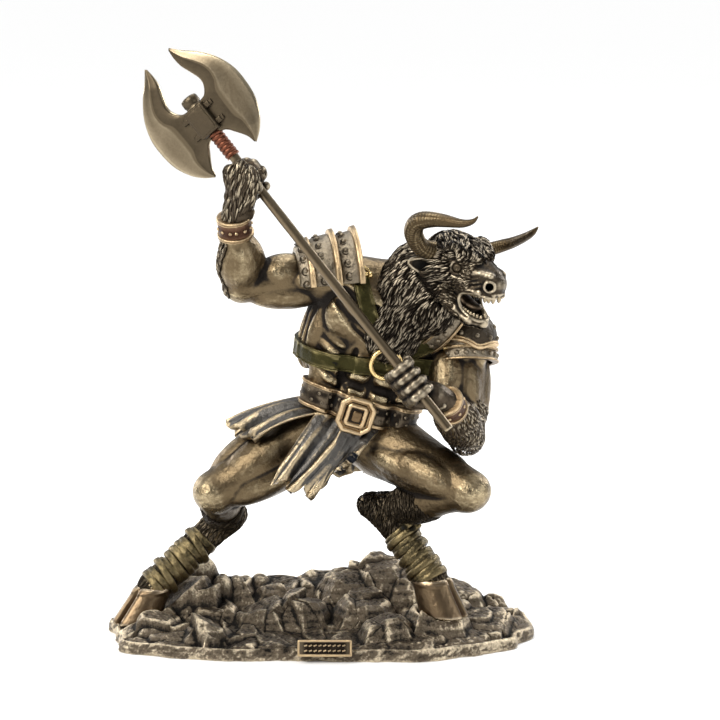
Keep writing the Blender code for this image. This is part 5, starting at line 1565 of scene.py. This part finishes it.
def build_hooves():
    """Cloven hooves: ovals that narrow upwards, split in front, under a soft coronet."""
    for side in SIDES:
        fetlock, sole, toe = FETLOCKS[side], SOLES[side], TOES[side]
        across = np.array((-toe[1], toe[0], 0))
        ankle = fetlock - (sole - fetlock) * 0.04
        share = np.linspace(0, 1, 34)[:, None]
        turn = full_turn(220)[None]
        height = (ankle[2] - sole[2] + 0.5) * share - 0.5
        centre = (sole + toe * 1.5)[None, None] * (1 - share[..., None]) + ankle * share[..., None]
        front = np.maximum(0, np.cos(turn))
        split = np.exp(-((np.sin(turn) / 0.13) ** 2)) * (np.cos(turn) > 0)
        cleft = 1 - 0.36 * split * (1 - 0.25 * share) * np.minimum(1, 0.55 + 1.2 * (1 - share))
        toes = 1 + 0.05 * np.exp(-(((np.abs(np.sin(turn)) - 0.38) / 0.22) ** 2)) * front
        rounding = 1 - 0.06 * np.exp(-share * 26) + 0.05 * np.exp(-(((share - 0.9) / 0.06) ** 2))
        lines = 1 + 0.006 * noise(np.stack(np.broadcast_arrays(height, 2 * np.cos(turn), 2 * np.sin(turn)), -1),
                                0.8, 3, 2)
        length = (12.4 - 2.6 * share) * cleft * toes * rounding * lines
        width = (10.9 - 1.8 * share) * rounding * lines
        points = centre + toe * (length * np.cos(turn))[..., None] + across * (width * np.sin(turn))[..., None]
        points[..., 2] = sole[2] + height
        top, base = points[-1:], points[:1]
        middle = top.mean(1, keepdims=True)
        points = np.concatenate([base * 0.6 + base.mean(1, keepdims=True) * 0.4, base, points[1:],
                                 middle + (top - middle) * 0.8 + (0, 0, 0.6), middle + (top - middle) * 0.3 + (0, 0,
                                                         0.4)])
        add_piece(side + "_hoof", capped(points), "hoof", fine=(3, 0.2), broad=(30, 0.9))


# Axe.

BLADE_INNER = (
    (7.3, 36.4), (6.9, 31.6), (7.5, 26.6), (9.3, 21.6), (10.9, 16.6), (10.2, 12.4), (6.5, 8.6), (-1, 6.5), (-1,
                            -6.5),
    (5.5, -10.2), (8.7, -14.2), (11.9, -19.2), (12.9, -23.2),
)
BLADE_EDGE = (
    (8.2, 37.4), (12.5, 32.6), (18.9, 26.6), (24.5, 19), (27.8, 10.4), (28.4, 2.1), (27.2, -7.3), (23.4, -15.4),
    (18.8, -20.6), (13.8, -24.1),
)
# From the inner outline to the cutting edge: share of the way, and share of the thickness.
BLADE_PROFILE = (
    (0, 0.25), (0.02, 0.5), (0.07, 0.9), (0.1, 0.97), (0.3, 0.94), (0.5, 0.97), (0.57, 1.0), (0.6, 0.99), (0.64,
                            0.9),
    (0.8, 0.55), (0.94, 0.2), (1, 0.05),
)
BLADE_THICKNESS = 3.6
SOCKET = (5.6, 7.75, 5.5)


def block(place, centre, half, power, steps):
    """A rounded box square to a place: a sphere's rings with each direction raised to a small power.
    Its half sizes are to the left, up and to the front."""
    lift = np.radians(np.linspace(-89, 89, steps))[:, None]
    turn = full_turn(2 * steps)[None] + 0.001
    root = lambda v: np.sign(v) * np.abs(v) ** (2 / power)
    flat = root(np.cos(lift))
    shape = np.broadcast_arrays(flat * root(np.cos(turn)), flat * root(np.sin(turn)), root(np.sin(lift)))
    return capped(centre + (np.stack(shape, -1) * half) @ place.axes[[0, 2, 1]])


def lathe(radius, height, segments):
    """A radius for each height along the axe, turned round its axis."""
    turn = full_turn(segments)[None]
    return capped(axe(radius * np.cos(turn), radius * np.sin(turn), height + 0 * turn))


def build_axe_head():
    """Two hollow-ground blades, the bolted socket and its nut."""
    blades, reliefs = [], []
    count = 90
    inner = respaced(smooth_line(np.array(BLADE_INNER), 16), count)
    edge = respaced(smooth_line(np.array(BLADE_EDGE), 16), count)
    share, thick = np.array(BLADE_PROFILE).T
    taper = np.minimum(1, 0.25 + 0.06 * np.minimum(np.arange(count), count - 1 - np.arange(count)))
    flat = inner[:, None] * (1 - share)[None, :, None] + edge[:, None] * share[None, :, None]
    depth = taper[:, None] * thick[None] * BLADE_THICKNESS / 2
    for side in (-1, 1):
        front, back = (axe(side * flat[..., 0], face * depth, HEAD_ABOVE_FIST + flat[..., 1]) for face in (1, -1))
        blades.append(slab(front, back))
        # The flat between the inner rim and the ridge takes the dark colour; the ridge and the bevel beyond it are
        # lighter as a painted highlight, and both rims are lighter as wear.
        bare = np.interp(share, (0, 0.03, 0.1, 0.5, 0.58, 0.64, 0.9, 1),
                         (1.0, 0.85, 0.2, 0.1, 0.8, 0.75, 0.72, 1.0))
        bare = np.broadcast_to(bare, (count, len(share)))
        reliefs.append(np.concatenate([bare, bare[:, ::-1]], 1).ravel())
    add_piece("axe_blades", merged(blades), "axe", node="axe_head", relief=np.concatenate(reliefs))
    middle = axe(0, 0, HEAD_ABOVE_FIST)
    inner = (SOCKET[0] - 0.9, SOCKET[1] - 0.9, SOCKET[2] + 0.35)
    parts = [block(axe, middle, half, 14, 48) for half in (SOCKET, inner)]
    for side, end in ((-1, -1), (-1, 1), (1, -1), (1, 1)):
        lug = axe(side * 6.4, 0, HEAD_ABOVE_FIST + end * 4.65)
        parts.append(block(axe, lug, (1.9, 1.5, 3.4), 8, 20))
        parts.append(block(axe, lug + axe.axes[0] * side * 2.0, (1.2, 1.3, 2.7), 8, 20))
    add_piece("axe_socket", merged(parts), "iron", "axe_bronze", "axe_head")
    nut = [(0.2, 40), (4.3, 40.2), (4.4, 43.2), (4.1, 43.6), (4.1, 44.2), (4.4, 44.6), (4.4, 47.2), (4.0, 48.1),
           (3.0, 48.5), (0.2, 48.6)]
    add_piece("axe_nut", lathe(*np.array(nut).T[..., None], 64), "iron", "axe_bronze", "axe_head", fine=(2, 0.3),
              broad=(0, 1))


def build_shaft():
    """The bar through both fists, a little worn, and the thong wound round it below the head."""
    low, high = -FIST_SPACING - 29.0, 45.0
    heights = np.concatenate([[low, low, low + 0.2, low + 0.6], np.linspace(low + 1, high - 0.5, 260),
                            [high, high]])
    radii = np.full(len(heights), SHAFT_RADIUS)
    radii[:4] = (0.2, 1.9, 2.25, 2.4)
    radii[-2:] = (1.9, 0.2)
    radii[4:-2] += 0.05 * noise(np.stack([heights[4:-2], 0 * heights[4:-2], 0 * heights[4:-2]], -1), 7, 2, 2)
    add_piece("axe_bar", lathe(radii[:, None], heights[:, None], 40), "bar", node="axe_shaft")
    height = np.linspace(12.9, 27.1, 200)[:, None]
    wave = height / 2.1 - full_turn(64)[None] / (2 * np.pi)
    radius = 3.0 + 0.55 * np.abs(np.sin(np.pi * wave)) ** 0.6
    radius[0] = radius[-1] = 2.3
    add_piece("grip_thong", lathe(radius, height, 64), "grip", node="axe_grip", fine=(2, 0.05), broad=(0, 1))


# Base.

# Stones: left and back of the middle, half width, and height of the top.
LARGE_STONES = (
    (-92, -6, 17, 10), (-66, 24, 16, 24), (-52, 8, 14, 18), (-44, 32, 15, 22), (-20, 30, 17, 20), (2, 34, 18, 22),
    (-30, 0, 17, 16), (-8, 4, 16, 17), (16, 22, 15, 27), (33, 26, 14, 31), (24, 2, 17, 21), (48, 20, 14, 24),
    (72, 24, 16, 20), (60, -12, 19, 15.5), (84, -4, 18, 12), (34, -22, 16, 16), (-72, -20, 16, 11), (-54, -22, 15,
                            13),
    (92, 12, 12, 11),
)
BOULDERS = (
    (-59, 30, 7.5, 34), (-66, 25, 6.5, 27), (-49, 21, 6, 26.5), (-42, 27, 6, 25), (-71, 30, 5, 24), (31, 27, 8,
                            32), (42, 24, 6.5, 29),
    (50, 20, 6, 26), (20, 31, 6, 29), (72, 6, 6, 18), (64, 12, 5, 20), (-30, 34, 6, 24), (-4, 38, 6, 25),
)
BASE_LENGTH = 210.0
BASE_DEPTH = 92.0


def edge_radius(turn):
    """How far the base reaches at an angle, as a share of its half length and half depth."""
    swell = 1 + 0.028 * np.sin(5 * turn + 1) + 0.018 * np.sin(9 * turn) + 0.012 * np.sin(17 * turn + 2)
    return [np.sign(way) * np.abs(way) ** 0.8 * swell for way in (np.cos(turn), np.sin(turn))]


def scattered_stones():
    """All stones as x, y, half width, top, lean x and lean y, drawn as the frame's base draws them."""
    draw = random.Random(11)
    stones = list(LARGE_STONES)
    for _ in range(26):
        x, y = draw.uniform(-95, 95), draw.uniform(-40, 40)
        stones.append((x, y, draw.uniform(6, 12), 9 + 0.09 * (y + 44) + draw.uniform(-2, 3)))
    return [(*stone, draw.uniform(-0.22, 0.22), draw.uniform(-0.22, 0.22)) for stone in stones]


def ground(x, y):
    """Height of the stones: each is a tilted top that breaks off steeply round its rim."""
    height = np.full(x.shape, BASE_TOP)
    for east, north, size, top, lean_x, lean_y in scattered_stones():
        right, back = x - east, y - north
        reach = np.maximum(np.abs(right) + 0.35 * np.abs(back), np.abs(back) + 0.25 * np.abs(right)) / size
        fall = np.maximum(0, reach - 0.6) ** 1.4 * 1.9 * size
        height = np.where(reach < 1.25, np.maximum(height, top + lean_x * right + lean_y * back - fall), height)
    return height


def boulders(x, y, z):
    """Round stones set on the ground: each is the top of a dented ball."""
    for east, north, size, top in BOULDERS:
        right, back = x - east, y - north
        dents = 1 + 0.22 * noise(np.stack([x, y, 0 * x + size], -1), 0.8 * size, 79, 2)
        reach = np.hypot(right, back) / (size * dents)
        z = np.where(reach < 1, np.maximum(z, top - 1.3 * size * (1 - np.sqrt(np.maximum(1 - reach**2, 0)))), z)
    return z


def facets(x, y, size, lean, step, seed, crack):
    """Split rock: each point takes the tilted plane of its nearest seed, less a crack where two seeds
    are equally near."""
    draw = np.random.default_rng(seed)
    count = int(BASE_LENGTH * BASE_DEPTH * 1.3 / size**2)
    seeds = np.stack([draw.uniform(-118, 118, count), draw.uniform(-56, 56, count)], -1)
    tilt = draw.normal(size=(count, 2)) * lean
    rise = draw.normal(size=count) * step
    height = np.empty(x.size)
    flat = np.stack([x.ravel(), y.ravel()], -1)
    for part in np.array_split(np.arange(x.size), 60):
        gap = flat[part, None] - seeds[None]
        far = np.sqrt((gap**2).sum(-1))
        near = np.argpartition(far, 1, axis=1)[:, :2]
        two = np.take_along_axis(far, near, 1)
        near = np.take_along_axis(near, np.argsort(two, 1), 1)
        two = np.sort(two, 1)
        mine = near[:, 0]
        off = flat[part] - seeds[mine]
        height[part] = rise[mine] + (off
                                * tilt[mine]).sum(-1) - crack * np.exp(-((two[:, 1] - two[:, 0])
                                                        / (0.06 * size)) ** 2)
    return height.reshape(x.shape)


def ledges(z, step):
    """Layered rock: heights drawn towards whole steps, with a short steep rise between two of them."""
    whole = np.floor(z / step)
    part = z / step - whole
    rise = np.clip((part - 0.36) / 0.28, 0, 1)
    return step * (whole + 0.3 * part + 0.7 * rise * rise * (3 - 2 * rise))


def hoof_room(x, y, z):
    """The rock is lowered under each hoof, and under the slanting shank above it."""
    for side in SIDES:
        sole, toe, hock = SOLES[side], TOES[side], HOCKS[side]
        east, north = x - sole[0] - 1.5 * toe[0], y - sole[1] - 1.5 * toe[1]
        along, beside = east * toe[0] + north * toe[1], north * toe[0] - east * toe[1]
        seat = np.sqrt((along / 12.6) ** 2 + (beside / 11.0) ** 2)
        z = np.where(seat < 1.15, np.minimum(z, sole[2] - 0.7 + np.maximum(0, seat - 1) * 26), z)
        low = sole + np.array((0, 0, 10))
        line = hock - low
        flat = np.hypot(line[0], line[1])
        east, north = x - low[0], y - low[1]
        share = (east * line[0] + north * line[1]) / flat**2
        aside = np.abs(east * line[1] - north * line[0]) / flat
        radius = 12.5 + 2 * np.clip(share, 0, 1)
        slope = np.linalg.norm(line) / flat
        under = low[2] + np.clip(share, -0.3, 1) * line[2] - np.sqrt(np.maximum(radius**2 - aside**2, 0)) * slope
        z = np.where((aside < radius) & (share > -0.4) & (share < 1.05),
                     np.minimum(z, np.maximum(under, sole[2] + 0.5)), z)
    return z


def build_base():
    """The rocky ground as rings round the middle, with split and pitted edges."""
    rings, steps = 130, 620
    turn = full_turn(steps)[None]
    share = (np.arange(1, rings + 1) / rings)[:, None] ** 0.9
    out_x, out_y = edge_radius(turn)
    x, y = out_x * BASE_LENGTH / 2 * share * 0.955, out_y * BASE_DEPTH / 2 * share * 0.955
    flat = np.stack([x, y, 0 * x], -1)
    bent = 2.2 * noise(flat, 14, 70, 2)
    z = ground(x + bent, y - bent) + facets(x + bent, y + bent, 22, 0.17, 0.9, 71, 0.45) + 0.9 * noise(flat, 9, 77,
                            2)
    z = 0.68 * z + 0.32 * ledges(z + 1.5 * noise(flat, 24, 78), 4.6)
    z = boulders(x, y, z) + 0.5 * noise(flat * (1, 1.6, 1), 4, 73, 3) + 0.24 * noise(flat, 1.4, 74, 2)
    z = np.maximum(hoof_room(x, y, z), 3.0)
    z = z - np.maximum(0, share - 0.94) * 40
    top = np.stack([x, y, z], -1)
    profile = ((0.985, 0.78), (0.992, 0.66), (0.996, 0.54), (1, 0.42), (1, 0.3), (1, 0.2), (1, 0.1), (0.995, 0.02))
    wall = np.array([
        np.stack([out_x * BASE_LENGTH / 2 * out, out_y * BASE_DEPTH / 2 * out, 0 * out_x + BASE_TOP * height],
                 -1)[0]
        for out, height in profile
    ])
    rough = noise(wall * (1, 1, 1.6), 4.0, 75, 3)[..., None] * 1.5 + noise(wall, 12.0, 76)[..., None] * 1.6
    out = unit(wall * (1, 1, 0))
    wall = wall - out * (0.5 + np.abs(rough)) * 0.9
    under = np.stack([wall[-1] * (k, k, 0) for k in (0.99, 0.6, 0.2)])
    rows = np.concatenate([top[:1] * (0.05, 0.05, 1), top, wall, under])
    points, faces = capped(rows)
    faces = outward(points, faces)
    relief = relief_of(points, faces, (3, 0.14), (24, 0.9))
    side = 1 - np.abs(point_normals(points, faces)[:, 2])
    relief = 0.5 + (relief - 0.5) * (1 - 0.45 * side)
    add_piece("rocks", (points, faces), "rock", node="base", relief=relief)
    build_plaque()


def build_plaque():
    """A small framed plate on the front edge, with rows of short strokes that stand for an inscription."""
    place = Place((4, -46.2, 7.6), (0, -1, 0.21), (0, 0.21, 1))
    shares = np.array((0, 0.9, 1.0, 1.0, 0.98, 0.9, 0.6, 0))[:, None]
    heights = np.array((-2.5, -2.5, -2.5, 0.7, 1.1, 1.2, 1.2, 1.2))[:, None]
    shape = respaced_loop(np.array([(12.6, -3.5, 0), (12.6, 3.5, 0), (-12.6, 3.5, 0), (-12.6, -3.5, 0)], float),
                          120)
    rings = place(shares * shape[:, 0], heights + 0 * shape[:, 0], shares * shape[:, 1])
    add_piece("plaque", capped(rings), "leather", "rock_bronze", "base")
    parts = [tube(respaced_loop(place(shape[:, 0], 1.3 + 0 * shape[:, 0], shape[:, 1]), 140), 0.62, 10,
                  place.axes[1], True)]
    draw = np.random.default_rng(81)
    for row in (-1.25, 1.25):
        for k in range(9):
            left = -9.2 + 2.3 * k
            ends = place(np.array((left - 0.7, left + 0.7)), np.array((1.35, 1.35)),
                         row + np.array((-0.35, 0.35)) * draw.uniform(0.6, 1))
            parts.append(tube(respaced(ends, 8), 0.34, 8, place.axes[1]))
    add_piece("plaque_frame", merged(parts), "trim", node="base")


# Stage, in metres.

FLOOR_REACH = 30.0
FLOOR_ROUGHNESS = 0.9
LAMP_AIM = (0.0, 0.0, 0.14)
CAMERA_AIM = np.array((0.021, 0, 0.1405))
SENSOR_WIDTH = 36
# Each lamp: its kind, place, size or angle, strength and tint.
LAMPS = {
    "sun": ("SUN", (-0.9, -1.0, 1.35), 0.45, 1.7, (1.0, 0.98, 0.94)),
    "key": ("AREA", (-0.9, -0.9, 0.7), 0.5, 5, (1.0, 0.97, 0.93)),
    "fill": ("AREA", (1.3, -0.8, 0.5), 0.6, 5, (0.95, 0.97, 1.0)),
    "top": ("AREA", (0.1, 0.4, 1.5), 0.8, 8, (1, 1, 1)),
    "rim_left": ("AREA", (-1.1, 0.9, 0.5), 0.5, 6, (1, 0.98, 0.95)),
    "rim_right": ("AREA", (1.1, 1.0, 0.7), 0.5, 6, (1, 0.98, 0.95)),
}


def build_stage(sizes, colours):
    """A pale floor, a white surround, soft lights and the camera."""
    scene = bpy.context.scene
    mesh = bpy.data.meshes.new("floor")
    corners = [(x * FLOOR_REACH, y * FLOOR_REACH, 0) for x, y in ((-1, -1), (1, -1), (1, 1), (-1, 1))]
    mesh.from_pydata(corners, [], [(0, 1, 2, 3)])
    floor = bpy.data.objects.new("floor", mesh)
    scene.collection.objects.link(floor)
    paint = Finish("floor_paint")
    paint.set(Base_Color=(*colours.floor, 1), Roughness=FLOOR_ROUGHNESS)
    mesh.materials.append(paint.material)

    world = bpy.data.worlds.new("surround")
    world.use_nodes = True
    scene.world = world
    tree = world.node_tree
    add = lambda kind: tree.nodes.new(kind)
    lit, shown, path, mix = (add("ShaderNode" + k) for k in ("Background", "Background", "LightPath", "MixShader"))
    shown.inputs["Color"].default_value = (1, 1, 1, 1)
    lit.inputs["Color"].default_value = (0.95, 0.97, 1.0, 1)
    split = add("ShaderNodeSeparateXYZ")
    tree.links.new(add("ShaderNodeTexCoord").outputs["Generated"], split.inputs[0])
    north, high = Value(tree, split.outputs[1]), Value(tree, split.outputs[2])
    glow = 0.07 + 0.6 * high.smooth(0.1, 0.9) + 0.38 * north.smooth(-0.1, 0.8)
    tree.links.new(glow.socket, lit.inputs["Strength"])
    shades = (path.outputs["Is Camera Ray"], lit.outputs[0], shown.outputs[0])
    for source, socket in zip((*shades, mix.outputs[0]), (*mix.inputs, tree.nodes["World Output"].inputs[0])):
        tree.links.new(source, socket)

    for name, (kind, place, size, power, tint) in LAMPS.items():
        lamp = bpy.data.lights.new(name, kind)
        if kind == "AREA":
            lamp.shape = "DISK"
            lamp.size = size
        else:
            lamp.angle = size
        lamp.energy = power * sizes.light
        lamp.color = tint
        obj = bpy.data.objects.new(name, lamp)
        aim_at(obj, place, LAMP_AIM)
        scene.collection.objects.link(obj)

    camera = bpy.data.cameras.new("camera")
    camera.sensor_width = SENSOR_WIDTH
    camera.lens = sizes.lens
    obj = bpy.data.objects.new("camera", camera)
    lift = np.radians(sizes.camera_lift)
    aim_at(obj, CAMERA_AIM + sizes.camera_far * np.array((0, -np.cos(lift), np.sin(lift))), CAMERA_AIM)
    scene.collection.objects.link(obj)
    scene.camera = obj
    scene.view_settings.view_transform = "Standard"


def aim_at(obj, place, target):
    """Puts a lamp or the camera at a place, facing a target."""
    place, target = np.asarray(place, float), np.asarray(target, float)
    back = unit(place - target)
    right = unit(np.cross((0, 0, 1), back))
    turn = np.eye(4)
    turn[:3, 0], turn[:3, 1], turn[:3, 2], turn[:3, 3] = right, np.cross(back, right), back, place
    obj.matrix_world = Matrix(turn.tolist())


# Settings, operators and the panel.


class StatueSizes(bpy.types.PropertyGroup):
    """Sizes that a user may change"""

    mane_length: bpy.props.FloatProperty(
        name="Mane Length", description="Length of a lock of the mane", default=0.0085, min=0.002, max=0.015,
        unit="LENGTH", subtype="DISTANCE",
    )
    light: bpy.props.FloatProperty(name="Light", description="Strength of all lamps", default=1.5, min=0.1, max=4.0)
    lens: bpy.props.FloatProperty(name="Lens", description="Focal length in millimetres", default=142.86, min=20,
                            max=300)
    camera_far: bpy.props.FloatProperty(
        name="Camera Distance", description="From the camera to the statue", default=1.4, min=0.5, max=5,
        unit="LENGTH", subtype="DISTANCE",
    )
    camera_lift: bpy.props.FloatProperty(
        name="Camera Height", description="Degrees above the level", default=10.0, min=0, max=60
    )


class StatueColours(bpy.types.PropertyGroup):
    """Colours that a user may change"""

    bronze: bpy.props.FloatVectorProperty(
        name="Bronze", description="Bare bronze of the figure", default=colour(LOOKS["bronze"][3])[:3],
        subtype="COLOR", size=3, min=0, max=1,
    )
    axe: bpy.props.FloatVectorProperty(
        name="Axe", description="Metal of the axe", default=colour(LOOKS["axe"][3])[:3],
        subtype="COLOR", size=3, min=0, max=1,
    )
    floor: bpy.props.FloatVectorProperty(
        name="Floor", description="Paint of the floor", default=(0.9, 0.9,
                                0.9), subtype="COLOR", size=3, min=0, max=1
    )


class STATUE_OT_finishes(bpy.types.Operator):
    """Make the metal finishes"""

    bl_idname = "statue.finishes"
    bl_label = "Finishes"

    def execute(self, context):
        make_finishes(context.scene.statue_colours)
        for name, obj in frame_objects().items():
            look = {"base": "rock", "axe_head": "axe", "axe_shaft": "axe", "axe_grip": "grip"}.get(name, "bronze")
            obj.data.materials.clear()
            obj.data.materials.append(FINISHES[look])
        return {"FINISHED"}


def frame_objects():
    """The frame's own solids by node name."""
    return {o["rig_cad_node"]: o for o in bpy.context.scene.objects if "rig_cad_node" in o}


class STATUE_OT_rocks(bpy.types.Operator):
    """Rocky ground with its plaque"""

    bl_idname = "statue.rocks"
    bl_label = "Rocks"

    def execute(self, context):
        build_base()
        return {"FINISHED"}


class STATUE_OT_body(bpy.types.Operator):
    """Trunk, arms and legs, with their fur"""

    bl_idname = "statue.body"
    bl_label = "Body"

    def execute(self, context):
        build_body()
        return {"FINISHED"}


class STATUE_OT_head(bpy.types.Operator):
    """Head, mane, eyes, teeth and tongue"""

    bl_idname = "statue.head"
    bl_label = "Head"

    def execute(self, context):
        build_head(context.scene.statue_sizes)
        return {"FINISHED"}


class STATUE_OT_horns(bpy.types.Operator):
    """Ribbed horns"""

    bl_idname = "statue.horns"
    bl_label = "Horns"

    def execute(self, context):
        build_horns()
        return {"FINISHED"}


class STATUE_OT_fists(bpy.types.Operator):
    """Hands closed round the shaft"""

    bl_idname = "statue.fists"
    bl_label = "Fists"

    def execute(self, context):
        build_fists()
        return {"FINISHED"}


class STATUE_OT_hooves(bpy.types.Operator):
    """Cloven hooves"""

    bl_idname = "statue.hooves"
    bl_label = "Hooves"

    def execute(self, context):
        build_hooves()
        return {"FINISHED"}


class STATUE_OT_belt(bpy.types.Operator):
    """Belt with its studs and buckle"""

    bl_idname = "statue.belt"
    bl_label = "Belt"

    def execute(self, context):
        build_belt()
        return {"FINISHED"}


class STATUE_OT_straps(bpy.types.Operator):
    """Chest straps and rings"""

    bl_idname = "statue.straps"
    bl_label = "Straps"

    def execute(self, context):
        build_straps()
        return {"FINISHED"}


class STATUE_OT_cuffs(bpy.types.Operator):
    """Cuffs on the wrists and wraps on the shanks"""

    bl_idname = "statue.cuffs"
    bl_label = "Cuffs and Wraps"

    def execute(self, context):
        build_cuffs()
        build_wraps()
        return {"FINISHED"}


class STATUE_OT_pauldrons(bpy.types.Operator):
    """Plates over the shoulders"""

    bl_idname = "statue.pauldrons"
    bl_label = "Pauldrons"

    def execute(self, context):
        build_pauldrons()
        return {"FINISHED"}


class STATUE_OT_skirt(bpy.types.Operator):
    """Hanging cloth under the belt"""

    bl_idname = "statue.skirt"
    bl_label = "Skirt"

    def execute(self, context):
        build_skirt()
        return {"FINISHED"}


class STATUE_OT_axe(bpy.types.Operator):
    """Axe head, shaft and wound grip"""

    bl_idname = "statue.axe"
    bl_label = "Axe"

    def execute(self, context):
        build_axe_head()
        build_shaft()
        return {"FINISHED"}


class STATUE_OT_stage(bpy.types.Operator):
    """Floor, lights and camera"""

    bl_idname = "statue.stage"
    bl_label = "Stage"

    def execute(self, context):
        build_stage(context.scene.statue_sizes, context.scene.statue_colours)
        return {"FINISHED"}


OPERATORS = (
    STATUE_OT_finishes,
    STATUE_OT_rocks,
    STATUE_OT_body,
    STATUE_OT_head,
    STATUE_OT_horns,
    STATUE_OT_fists,
    STATUE_OT_hooves,
    STATUE_OT_belt,
    STATUE_OT_straps,
    STATUE_OT_cuffs,
    STATUE_OT_pauldrons,
    STATUE_OT_skirt,
    STATUE_OT_axe,
    STATUE_OT_stage,
)


class STATUE_PT_panel(bpy.types.Panel):
    """Statue settings and pieces"""

    bl_idname = "STATUE_PT_panel"
    bl_label = "Statue"
    bl_space_type = "VIEW_3D"
    bl_region_type = "UI"
    bl_category = "Statue"

    def draw(self, context):
        for group in (context.scene.statue_sizes, context.scene.statue_colours):
            for name in group.__annotations__:
                self.layout.prop(group, name)
        for operator in OPERATORS:
            self.layout.operator(operator.bl_idname)


CLASSES = (StatueSizes, StatueColours, *OPERATORS, STATUE_PT_panel)


def register():
    for cls in CLASSES:
        bpy.utils.register_class(cls)
    bpy.types.Scene.statue_sizes = bpy.props.PointerProperty(type=StatueSizes)
    bpy.types.Scene.statue_colours = bpy.props.PointerProperty(type=StatueColours)


def unregister():
    del bpy.types.Scene.statue_colours
    del bpy.types.Scene.statue_sizes
    for cls in reversed(CLASSES):
        bpy.utils.unregister_class(cls)


def main():
    register()
    for operator in OPERATORS:
        group, name = operator.bl_idname.split(".")
        getattr(getattr(bpy.ops, group), name)()


if __name__ == "__main__":
    main()
